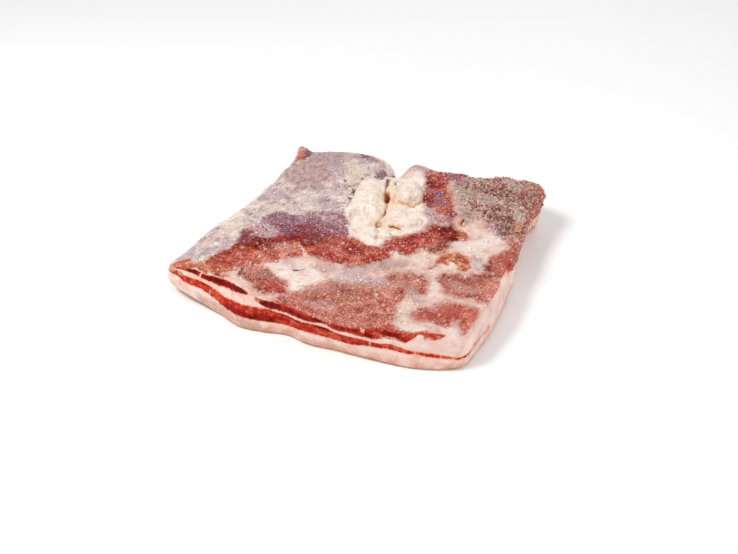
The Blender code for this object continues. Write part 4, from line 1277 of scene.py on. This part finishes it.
def clear_of_knobs(x, y):
    """Whether a crystal at a place stays clear of all knobs."""
    for cx, cy, half_length, half_width, _, turn in FAT_KNOBS:
        turn = math.radians(turn)
        p = (x - cx) * math.cos(turn) + (y - cy) * math.sin(turn)
        q = (y - cy) * math.cos(turn) - (x - cx) * math.sin(turn)
        if math.hypot(p / (half_length + SALT_CLEARANCE), q / (half_width + SALT_CLEARANCE)) < 1:
            return False
    return True


def salt_places():
    """Places on the top for the crystals, drawn by chance but no nearer to each other than the gap."""
    draw = np.random.default_rng(SALT_SEED)
    places = []
    while len(places) < SALT_COUNT:
        u, v = draw.uniform(*SALT_SPAN, 2)
        x, y, z = slab_points(np.array([u]), np.array([v]), np.ones(1))[0]
        wanted = draw.uniform() < (SALT_ON_MEMBRANE if on_membrane(x, y) else 1)
        near = any(math.hypot(x - place[0], y - place[1]) < SALT_GAP for place in places)
        if wanted and not near and clear_of_knobs(x, y):
            places.append((x, y, z))
    return places


def finished_shape(obj):
    """The points and triangles of a modelled shape, which is then taken away."""
    bm = bmesh.new()
    bm.from_mesh(obj.data)
    bmesh.ops.triangulate(bm, faces=bm.faces)
    points = np.array([vert.co for vert in bm.verts])
    faces = np.array([[vert.index for vert in face.verts] for face in bm.faces])
    bm.free()
    bpy.data.objects.remove(obj)
    return points, faces


def model_crystal(bevel):
    """A cube of salt one unit wide, with its edges worn."""
    deselect_everything()
    bpy.ops.mesh.primitive_cube_add(size=1, location=(0, 0, 0))
    crystal = bpy.context.object
    if bevel > 0:
        bpy.ops.object.mode_set(mode="EDIT")
        bpy.ops.mesh.bevel(offset=bevel, offset_pct=0, segments=1, affect="EDGES")
        bpy.ops.object.mode_set(mode="OBJECT")
    return finished_shape(crystal)


def model_damp_grain():
    """A half dissolved lump of salt, about one unit wide."""
    deselect_everything()
    bpy.ops.mesh.primitive_ico_sphere_add(subdivisions=1, radius=0.5, location=(0, 0, 0))
    return finished_shape(bpy.context.object)


def join_copies(name, shape, matrices):
    """One mesh of many copies of a shape, each moved by its own matrix."""
    points, faces = shape
    count = len(matrices)
    moved = np.einsum("nij,pj->npi", matrices[:, :3, :3], points) + matrices[:, None, :3, 3]
    joined = (faces[None] + (np.arange(count) * len(points))[:, None, None]).reshape(-1, 3)
    mesh = bpy.data.meshes.new(name)
    mesh.from_pydata(moved.reshape(-1, 3).tolist(), [], joined.tolist())
    obj = bpy.data.objects.new(name, mesh)
    bpy.context.scene.collection.objects.link(obj)
    return obj


def colour_from_below(salt, slab, nearest, whiteness, draw):
    """Each grain takes on the slab's fields where it lies, and a whiteness of its own."""
    per_grain = len(salt.data.vertices) // len(nearest)
    for attribute in slab.data.attributes:
        if attribute.data_type == "FLOAT" and attribute.domain == "POINT":
            values = get_attribute(slab.data, attribute.name)[nearest]
            set_attribute(salt.data, attribute.name, np.repeat(values, per_grain))
    low, high = whiteness
    white = low + (high - low) * draw.uniform(size=len(nearest)) ** WHITENESS_POWER
    set_attribute(salt.data, "white", np.repeat(white, per_grain))


def make_coarse_salt(slab):
    """The crystals of the solid, at the same places, with worn edges."""
    draw = np.random.default_rng(SALT_SEED + 1)
    matrices = []
    for x, y, z in salt_places():
        size = draw.uniform(*SALT_SIZE) * SALT_WORN
        sides = Matrix.Diagonal((*(size * draw.uniform(*SALT_SIDES, 3)), 1))
        tip = Matrix.Rotation(draw.uniform(-SALT_TIP, SALT_TIP), 4, "X")
        tip = tip @ Matrix.Rotation(draw.uniform(-SALT_TIP, SALT_TIP), 4, "Y")
        turn = Matrix.Rotation(draw.uniform(0, math.pi), 4, "Z")
        place = Matrix.Translation((x, y, z + size * (SALT_MIDDLE - SALT_SINK)))
        matrices.append(np.array(place @ turn @ tip @ sides))
    matrices = np.array(matrices)
    salt = join_copies("coarse_salt", model_crystal(COARSE_BEVEL), matrices)
    points = get_points(slab.data)
    nearest = np.array([np.argmin(((points - spot) ** 2).sum(1)) for spot in matrices[:, :3, 3]])
    colour_from_below(salt, slab, nearest, COARSE_WHITENESS, draw)
    return salt


def random_turns(draw, count):
    """Rotation matrices drawn evenly from all directions."""
    q = draw.normal(size=(count, 4))
    w, x, y, z = (q / np.linalg.norm(q, axis=1, keepdims=True)).T
    rows = [
        [1 - 2 * (y * y + z * z), 2 * (x * y - z * w), 2 * (x * z + y * w)],
        [2 * (x * y + z * w), 1 - 2 * (x * x + z * z), 2 * (y * z - x * w)],
        [2 * (x * z - y * w), 2 * (y * z + x * w), 1 - 2 * (x * x + y * y)],
    ]
    return np.moveaxis(np.array(rows), 2, 0)


def point_areas(mesh):
    """The share of the surface that belongs to each point."""
    mesh.calc_loop_triangles()
    corners = np.empty(len(mesh.loop_triangles) * 3, int)
    mesh.loop_triangles.foreach_get("vertices", corners)
    areas = np.empty(len(mesh.loop_triangles))
    mesh.loop_triangles.foreach_get("area", areas)
    return np.bincount(corners, np.repeat(areas / 3, 3), len(mesh.vertices))


def scatter_salt(name, slab, shape, count, sizes, sink, seed, whiteness):
    """Grains over the slab, thick where its salt field is high."""
    mesh = slab.data
    draw = np.random.default_rng(seed)
    points, normals, cover = get_points(mesh), get_normals(mesh), get_attribute(mesh, "salt")
    weight = point_areas(mesh) * cover * (points[:, 2] > SALT_FLOOR)
    nearest = draw.choice(len(points), count, p=weight / weight.sum())
    outward = normals[nearest]
    sideways = draw.normal(size=(count, 3)) * GRAIN_SHIFT
    sideways -= outward * (sideways * outward).sum(1)[:, None]
    size = sizes[0] + (sizes[1] - sizes[0]) * draw.beta(*SIZE_SPREAD, count)
    sides = size[:, None] * draw.uniform(*GRAIN_SIDES, (count, 3))
    matrices = np.zeros((count, 4, 4))
    matrices[:, :3, :3] = random_turns(draw, count) * sides[:, None, :]
    matrices[:, :3, 3] = points[nearest] + sideways + outward * (size * (0.5 - sink))[:, None]
    salt = join_copies(name, shape, matrices)
    colour_from_below(salt, slab, nearest, whiteness, draw)
    return salt


# ---------------------------------------------------------------------------------------------------------
# Materials
# ---------------------------------------------------------------------------------------------------------

PALETTES = {  # the colours of each finish: places from 0 to 1 in its pattern, and screen values of 0 to 255
    "fat": ((0.05, 190, 142, 129), (0.32, 211, 171, 158), (0.56, 227, 195, 182), (0.85, 241, 221, 209)),
    "cut_fat": ((0.05, 230, 172, 154), (0.35, 242, 204, 191), (0.60, 249, 218, 208), (0.90, 252, 231, 222)),
    # low: the tan low on the cut sides, a painted warm reflection near the foot.
    "low": ((0.20, 212, 139, 100), (0.50, 228, 165, 131), (0.80, 240, 196, 173)),
    "skin": ((0.05, 142, 112, 114), (0.30, 182, 156, 156), (0.54, 210, 190, 186), (0.84, 236, 222, 214)),
    "brown_pink": ((0.30, 146, 108, 104), (0.50, 174, 140, 134), (0.70, 200, 172, 164)),
    "mauve": ((0.30, 136, 112, 122), (0.50, 172, 148, 155), (0.70, 204, 186, 190)),
    "cream": ((0.35, 208, 188, 166), (0.65, 236, 220, 200)),
    "bright_fat": ((0.32, 216, 190, 178), (0.48, 240, 221, 210), (0.62, 251, 242, 233)),
    "knob_fat": ((0.10, 228, 204, 188), (0.50, 243, 227, 215), (0.90, 250, 240, 230)),
    "lean": (
        (0.08, 214, 138, 122), (0.30, 190, 96, 80), (0.50, 166, 66, 50), (0.70, 138, 38, 26),
        (0.94, 106, 18, 12),
    ),
    "dull": (
        (0.08, 218, 162, 148), (0.32, 190, 118, 102), (0.54, 168, 90, 74), (0.76, 134, 56, 44),
        (0.96, 104, 36, 28),
    ),
    "bright": (
        (0.08, 220, 128, 110), (0.32, 192, 78, 62), (0.54, 160, 44, 31), (0.76, 126, 22, 15),
        (0.96, 96, 11, 9),
    ),
    "crust": (
        (0.08, 209, 181, 170), (0.30, 184, 147, 136), (0.50, 159, 116, 105), (0.68, 132, 82, 72),
        (0.90, 94, 48, 40),
    ),
    "brown": ((0.15, 188, 138, 114), (0.50, 150, 98, 76), (0.85, 104, 56, 40)),
    "film": ((0.30, 132, 106, 98), (0.46, 168, 144, 134), (0.66, 206, 190, 178)),
    "cut_lean": (
        (0.05, 228, 124, 94), (0.28, 204, 70, 42), (0.48, 180, 36, 15), (0.70, 146, 12, 3),
        (0.92, 96, 1, 0),
    ),
    "plum": ((0.30, 70, 12, 26), (0.46, 108, 34, 50), (0.58, 142, 70, 86), (0.72, 186, 134, 148)),
    "violet": ((0.30, 82, 38, 56), (0.46, 116, 66, 86), (0.58, 148, 100, 116), (0.70, 200, 168, 178)),
    "lilac": ((0.32, 116, 82, 94), (0.46, 174, 144, 152), (0.66, 226, 210, 212)),
    "stain": ((0.32, 122, 44, 20), (0.48, 180, 86, 48), (0.66, 224, 158, 124)),
    "rind": ((0.35, 176, 122, 90), (0.60, 206, 156, 124)),
    "under": ((0.32, 206, 160, 130), (0.52, 224, 184, 154), (0.70, 236, 204, 178)),
    "knob": ((0.05, 218, 190, 172), (0.35, 234, 214, 199), (0.60, 242, 227, 215), (0.90, 249, 240, 231)),
    # knob_crevice_and_shade: the brown in the knobs' crevices, deepest where they are deepest, partly the
    # fat's own colour and partly painted shade.
    "knob_crevice_and_shade": ((0.12, 240, 214, 190), (0.34, 220, 166, 118), (0.62, 166, 98, 48), (0.95, 88, 40, 12)),
    "pale_surface": ((0.3, 252, 252, 252), (0.7, 254, 254, 254)),
}
PEACH = (240, 154, 112)  # cut fat beside the lean
# Brown for the crevices: partly the fat's own colour, partly painted shade.
CREVICE_BROWN_AND_SHADE = (104, 46, 14)
PIT_BROWN = (66, 28, 16)
# A tan round the crevices of the knobs: partly the fat's own tint, partly painted soft shade.
CREVICE_TAN_AND_SHADE = (231, 196, 160)
POCK_CREAM = (216, 180, 142)
WHITE_SALT = (254, 228, 214)
STRAND_TURN = -0.5  # radians from X, the way the strands of the fat at the right run
PATCHINESS = 2.4  # how strongly patches break up a coat
PATCH_EDGE = (0.06, 0.64)


def tint(red, green, blue):
    """A colour given in screen values of 0 to 255, as the linear values that a material takes."""
    def linear(value):
        value /= 255
        return value / 12.92 if value <= 0.04045 else ((value + 0.055) / 1.055) ** 2.4
    return (linear(red), linear(green), linear(blue), 1.0)


class Finish:
    """A material under construction."""

    def __init__(self, name):
        self.material = bpy.data.materials.new(name)
        self.material.use_nodes = True
        self.tree = self.material.node_tree
        self.spots = self.add("ShaderNodeTexCoord").outputs["Object"]

    def feed(self, node, inputs):
        """Joins a node's inputs to other nodes' outputs, or sets them to numbers or colours."""
        for name, value in inputs.items():
            if isinstance(value, bpy.types.NodeSocket):
                self.tree.links.new(value, node.inputs[name])
            else:
                node.inputs[name].default_value = value

    def add(self, kind, inputs=None, **settings):
        """A new node with its settings and inputs."""
        node = self.tree.nodes.new(kind)
        for name, value in settings.items():
            setattr(node, name, value)
        self.feed(node, inputs or {})
        return node

    def surface(self, inputs):
        """Sets the inputs of the shader, and gives back the finished material."""
        self.feed(self.tree.nodes["Principled BSDF"], inputs)
        return self.material

    def field(self, name):
        """The number that each point of the mesh holds under that name."""
        return self.add("ShaderNodeAttribute", attribute_name=name).outputs["Fac"]

    def scaled(self, size, stretch=(1, 1, 1), turn=0.0):
        """The place on the object, counted in features of the given size."""
        scale = [1 / (size * share) for share in stretch]
        inputs = {"Vector": self.spots, "Rotation": (0, 0, turn), "Scale": scale}
        return self.add("ShaderNodeMapping", inputs).outputs["Vector"]

    def grain(self, size, detail=3.0, roughness=0.5, stretch=(1, 1, 1), turn=0.0):
        """Noise from 0 to 1 with features of the given size in metres."""
        where = self.scaled(size, stretch, turn)
        inputs = {"Vector": where, "Scale": 1, "Detail": detail, "Roughness": roughness}
        return self.add("ShaderNodeTexNoise", inputs).outputs["Fac"]

    def lumps(self, size):
        """A cell for each lump, about a size apart; its distance grows to 0.7 in the gaps."""
        return self.add("ShaderNodeTexVoronoi", {"Vector": self.scaled(size), "Scale": 1})

    def granules(self, size, cover):
        """Round granules about a size apart, of which the given share shows."""
        cell = self.lumps(size)
        chance = self.add("ShaderNodeSeparateColor", {"Color": cell.outputs["Color"]})
        shown = self.step(self.sum("SUBTRACT", cover, chance.outputs["Red"]), -0.10, 0.12)
        return self.times(self.step(cell.outputs["Distance"], 0.50, 0.14), shown)

    def sum(self, operation, *values):
        return self.add("ShaderNodeMath", dict(enumerate(values)), operation=operation).outputs["Value"]

    def times(self, a, b):
        return self.sum("MULTIPLY", a, b)

    def plus(self, a, b):
        return self.sum("ADD", a, b)

    def with_parts(self, base, *parts):
        """The base plus each part times its weight."""
        for value, weight in parts:
            base = self.sum("MULTIPLY_ADD", value, weight, base)
        return base

    def weigh(self, middle, *parts):
        """The middle value plus each part's distance from a half times its weight."""
        return self.with_parts(middle - 0.5 * sum(weight for _, weight in parts), *parts)

    def step(self, value, low, high, to_low=0.0, to_high=1.0):
        """A soft step between two limits."""
        inputs = {"Value": value, "From Min": low, "From Max": high, "To Min": to_low, "To Max": to_high}
        return self.add("ShaderNodeMapRange", inputs, interpolation_type="SMOOTHSTEP").outputs["Result"]

    def ramp(self, value, palette):
        """A colour that runs through the palette of that name as the value goes from 0 to 1."""
        stops = PALETTES[palette]
        node = self.add("ShaderNodeValToRGB", {"Fac": value})
        elements = node.color_ramp.elements
        while len(elements) < len(stops):
            elements.new(0.5)
        for element, (place, *colour) in zip(elements, stops):
            element.position = place
            element.color = tint(*colour)
        return node.outputs["Color"]

    def mix(self, share, a, b, **settings):
        """A colour that goes from a to b as the share goes from 0 to 1."""
        inputs = {"Factor": share, 6: a, 7: b}
        return self.add("ShaderNodeMix", inputs, data_type="RGBA", **settings).outputs[2]

    def mix_number(self, share, a, b):
        """A number that goes from a to b as the share goes from 0 to 1."""
        return self.add("ShaderNodeMix", {"Factor": share, 2: a, 3: b}, data_type="FLOAT").outputs[0]

    def lightened(self, colour, factor):
        return self.mix(1, colour, (factor, factor, factor, 1.0), blend_type="MULTIPLY", clamp_result=True)

    def bump(self, height, depth):
        """The shading of a surface whose relief follows the height."""
        inputs = {"Height": height, "Strength": 1.0, "Distance": depth}
        return self.add("ShaderNodeBump", inputs).outputs["Normal"]


class Flesh(Finish):
    """A material that changes with the fields of the mesh: fat, lean, skin and all that lies on them."""

    def __init__(self, name):
        super().__init__(name)
        self.cut, self.lean = self.field("cut"), self.field("lean")
        self.broad = self.grain(12 * MM, 3)
        self.middle = self.grain(4.2 * MM, 3, 0.6)
        self.small = self.grain(1.9 * MM, 3, 0.6)
        self.fine = self.grain(0.8 * MM, 2, 0.6)
        self.patches = self.weigh(0, (self.middle, 1.0), (self.small, 1.3), (self.fine, 0.9))
        self.fibres = self.weigh(0, (self.grain(2.4 * MM, 3, 0.6, (1, 1, 3.0)), 4.5), (self.middle, 2.0))

    def coat(self, colour, name, pattern, strength, patchy=0.0):
        """The colour with the palette of that name laid over it, as strongly as the field of that name."""
        share = self.field(name)
        if patchy > 0:
            share = self.times(share, self.with_parts(1.0, (self.patches, PATCHINESS * patchy)))
            share = self.step(share, *PATCH_EDGE)
        return self.mix(self.times(share, strength), colour, self.ramp(pattern, name))

    def shaded(self, tone, dark, pale):
        """The tone, darker under the dark strokes and lighter under the pale ones."""
        return self.with_parts(tone, (self.field("dark"), dark), (self.field("pale"), -pale))

    def lay_fat(self):
        """Fat and the skin that covers part of it."""
        cloud = self.weigh(0.5, (self.broad, 1.4), (self.middle, 0.9), (self.small, 0.4))
        beside_lean = self.step(self.with_parts(self.lean, (self.fibres, 0.25)), -2.8, -0.3)
        # Tan low on the cut sides: a painted warm reflection near the foot.
        cut_fat = self.coat(self.ramp(cloud, "cut_fat"), "low", cloud, 0.78)
        cut_fat = self.mix(self.times(beside_lean, 0.52), cut_fat, tint(*PEACH))
        fat = self.mix(self.cut, self.ramp(cloud, "fat"), cut_fat)
        streaks = self.grain(2.4 * MM, 4, 0.7, (1.6, 3.0, 1))
        silver = self.weigh(0.5, (self.broad, 1.3), (streaks, 1.5), (self.small, 0.8), (self.fine, 0.8))
        strands = self.grain(1.5 * MM, 4, 0.65, (3.4, 0.8, 1), STRAND_TURN)
        fat = self.coat(fat, "skin", silver, 0.95)
        fat = self.coat(fat, "brown_pink", streaks, 0.80, 1.0)
        fat = self.coat(fat, "mauve", self.small, 0.70, 1.2)
        fat = self.coat(fat, "cream", self.middle, 0.65)
        fat = self.coat(fat, "bright_fat", strands, 0.85)
        return self.coat(fat, "knob_fat", cloud, 0.95)

    def lay_lean(self):
        """Lean meat: red, dull and salted, or crusted."""
        dull = self.field("dull")
        tone = self.weigh(0.46, (self.broad, 0.9), (self.middle, 1.3), (self.small, 1.1), (self.fine, 0.8))
        calm = self.with_parts(self.times(self.field("even"), 0.5), (dull, 0.15))
        tone = self.shaded(self.mix_number(calm, tone, 0.44), 0.34, 0.24)
        # Painted light on the crust: each lump is painted lighter in its middle, a painted highlight, and
        # darker in the gaps between lumps, a painted shade.
        lump_highlight_and_gap_shade = self.step(self.lumps(3.1 * MM).outputs["Distance"], 0.28, 0.64, -0.27, 0.32)
        lean = self.ramp(tone, "lean")
        lean = self.coat(lean, "dull", tone, 0.92)
        lean = self.coat(lean, "bright", tone, 0.80)
        lean = self.coat(lean, "crust", self.plus(tone, lump_highlight_and_gap_shade), 0.92)
        lean = self.coat(lean, "brown", tone, 0.60)
        lean = self.coat(lean, "film", self.small, 0.66, 1.1)
        streaks = self.grain(1.0 * MM, 3, 0.6, (3.2, 3.2, 0.8))
        cut_tone = self.weigh(0.42, (streaks, 1.2), (self.middle, 0.9), (self.small, 0.5))
        cut_lean = self.ramp(self.shaded(cut_tone, 0.46, 0.22), "cut_lean")
        return self.mix(self.times(self.cut, self.with_parts(1.0, (dull, -0.9))), lean, cut_lean)

    def lay_all(self):
        """The colour of whatever covers each place, one laid over the other."""
        ragged = self.weigh(0, (self.middle, 3.0), (self.small, 1.6))
        edge = self.plus(self.lean, self.mix_number(self.cut, ragged, self.fibres))
        is_lean = self.step(self.times(edge, self.plus(self.cut, 1.0)), -1.5, 1.5)
        colour = self.mix(is_lean, self.lay_fat(), self.lay_lean())
        colour = self.coat(colour, "plum", self.small, 0.88, 1.1)
        colour = self.coat(colour, "violet", self.small, 0.92, 1.3)
        colour = self.coat(colour, "lilac", self.small, 0.75, 0.8)
        colour = self.coat(colour, "stain", self.middle, 0.94, 0.7)
        colour = self.coat(colour, "rind", self.broad, 0.9)
        colour = self.coat(colour, "under", self.broad, 1.0)
        # Brown in the crevices: partly the fat's own colour, partly painted shade.
        colour = self.mix(self.field("crevice"), colour, tint(*CREVICE_BROWN_AND_SHADE))
        return self.mix(self.step(self.field("pit"), 0.25, 0.75, 0.0, 0.85), colour, tint(*PIT_BROWN))


def cured_meat():
    """The slab's flesh with damp salt in it."""
    flesh = Flesh("cured_meat")
    colour = flesh.lay_all()
    cover = flesh.field("salt")
    fleck_cover = flesh.with_parts(flesh.times(cover, 0.6), (flesh.field("violet"), 0.22))
    damp, flecks = flesh.granules(2.8 * MM, cover), flesh.granules(1.3 * MM, fleck_cover)
    wet = flesh.mix(0.08, flesh.lightened(colour, 1.25), tint(*WHITE_SALT))
    colour = flesh.mix(damp, colour, wet)
    colour = flesh.mix(flesh.times(flecks, 0.42), colour, tint(*WHITE_SALT))
    relief = flesh.weigh(0, (flesh.fine, 0.5), (flesh.small, 0.9))
    relief = flesh.with_parts(relief, (flesh.sum("MAXIMUM", damp, flecks), 0.45))
    return flesh.surface({
        "Base Color": colour,
        "Roughness": flesh.step(flesh.middle, 0.35, 0.65, 0.48, 0.64),
        "Specular IOR Level": 0.10,
        "Subsurface Weight": 0.03,
        "Subsurface Radius": (1.0, 0.35, 0.2),
        "Subsurface Scale": 2.0 * MM,
        "Normal": flesh.bump(relief, 0.7 * MM),
    })


def firm_fat():
    """Waxy cream fat with brown in its crevices and a tan round them, both partly the fat's own colour and
    partly painted shade.
    """
    fat = Finish("firm_fat")
    broad, middle = fat.grain(9 * MM, 3), fat.grain(2.4 * MM, 4, 0.6)
    colour = fat.ramp(fat.weigh(0.5, (broad, 1.2), (middle, 0.9)), "knob")
    # Tan round the crevices: partly the fat's own tint, partly painted soft shade.
    colour = fat.mix(fat.times(fat.field("near_crevice"), 0.6), colour, tint(*CREVICE_TAN_AND_SHADE))
    colour = fat.mix(fat.times(fat.field("pocks"), 0.35), colour, tint(*POCK_CREAM))
    # The crevice colour darkens to a deep brown where a crevice is deepest: partly the fat's own brown,
    # partly painted shade.
    crevice = fat.plus(fat.field("crevice"), fat.weigh(0, (middle, 0.25)))
    return fat.surface({
        "Base Color": fat.mix(fat.step(crevice, 0.08, 0.26), colour, fat.ramp(crevice, "knob_crevice_and_shade")),
        "Roughness": 0.5,
        "Specular IOR Level": 0.30,
        "Subsurface Weight": 0.12,
        "Subsurface Radius": (1.0, 0.6, 0.4),
        "Subsurface Scale": 2 * MM,
        "Normal": fat.bump(middle, 0.5 * MM),
    })


def salt_grain():
    """Damp salt that takes on the colour of the meat below it."""
    grain = Flesh("salt_grain")
    colour = grain.lightened(grain.lay_all(), 1.3)
    return grain.surface({
        "Base Color": grain.mix(grain.field("white"), colour, tint(*WHITE_SALT)),
        "Roughness": 0.38,
        "Specular IOR Level": 0.5,
        "Subsurface Weight": 0.2,
        "Subsurface Radius": (1.0, 0.7, 0.6),
        "Subsurface Scale": 0.8 * MM,
    })


def pale_surface():
    """The matt white surface under the slab."""
    floor = Finish("pale_surface")
    colour = floor.ramp(floor.grain(FLOOR_PATCH, 2), "pale_surface")
    return floor.surface({"Base Color": colour, "Roughness": 0.85, "Specular IOR Level": 0.2})


# ---------------------------------------------------------------------------------------------------------
# Floor, light and camera
# ---------------------------------------------------------------------------------------------------------

CAMERA_TARGET = (0.01448, -0.02424, 0.0)
CAMERA_DISTANCE = 0.8964
CAMERA_ELEVATION = 34.0
CAMERA_AZIMUTH = 22.99
CAMERA_LENS, CAMERA_SENSOR = 50.0, 36.0  # millimetres
FLOOR_SIZE = 8
FLOOR_PATCH = 0.4  # metres

WORLD_LIGHT = 0.50
LIGHTS = (  # name, place, size, watts
    ("key", (-0.60, -0.55, 1.20), 0.5, 12.0),
    ("fill", (1.05, -0.25, 0.60), 0.9, 3.2),
    ("back", (0.15, 0.95, 0.95), 0.8, 2.4),
)


def make_floor():
    """The surface that the slab lies on."""
    deselect_everything()
    bpy.ops.mesh.primitive_plane_add(size=FLOOR_SIZE, location=(0, 0, 0))
    floor = bpy.context.object
    floor.name = "floor"
    floor.data.materials.append(pale_surface())


def light_the_scene():
    """A pale studio with three soft lamps, all turned to the slab."""
    world = bpy.data.worlds.new("studio")
    world.use_nodes = True
    world.node_tree.nodes["Background"].inputs["Color"].default_value = (1, 1, 1, 1)
    world.node_tree.nodes["Background"].inputs["Strength"].default_value = WORLD_LIGHT
    bpy.context.scene.world = world
    for name, place, size, watts in LIGHTS:
        data = bpy.data.lights.new(name, "AREA")
        data.shape = "DISK"
        data.size = size
        data.energy = watts
        light = bpy.data.objects.new(name, data)
        light.location = place
        light.rotation_euler = (-Vector(place)).to_track_quat("-Z", "Y").to_euler()
        bpy.context.scene.collection.objects.link(light)
    bpy.context.scene.view_settings.view_transform = "Standard"


def set_camera():
    """The camera in front of the slab, a little round to its right."""
    azimuth, elevation = math.radians(CAMERA_AZIMUTH), math.radians(CAMERA_ELEVATION)
    back = Vector((
        math.sin(azimuth) * math.cos(elevation),
        -math.cos(azimuth) * math.cos(elevation),
        math.sin(elevation),
    ))
    data = bpy.data.cameras.new("camera")
    data.lens = CAMERA_LENS
    data.sensor_width = CAMERA_SENSOR
    camera = bpy.data.objects.new("camera", data)
    camera.location = Vector(CAMERA_TARGET) + back * CAMERA_DISTANCE
    camera.rotation_euler = (-back).to_track_quat("-Z", "Y").to_euler()
    bpy.context.scene.collection.objects.link(camera)
    bpy.context.scene.camera = camera


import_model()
set_camera()
light_the_scene()
make_floor()
belly = make_slab()
knobs = make_fat_knobs(belly)
coarse_salt = make_coarse_salt(belly)
fine_salt = scatter_salt("fine_salt", belly, model_crystal(0), **SCATTERED_SALT["fine_salt"])
damp_salt = scatter_salt("damp_salt", belly, model_damp_grain(), **SCATTERED_SALT["damp_salt"])
grain = salt_grain()
for salt in (coarse_salt, fine_salt, damp_salt):
    salt.data.materials.append(grain)
pieces = (
    (belly, "cured_pork"),
    (knobs, "pork_fat"),
    (coarse_salt, "coarse_salt"),
    (fine_salt, "coarse_salt"),
    (damp_salt, "coarse_salt"),
)
for piece, finish in pieces:
    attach(piece, "root")
for piece in (belly, knobs, coarse_salt):
    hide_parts("pork_belly")
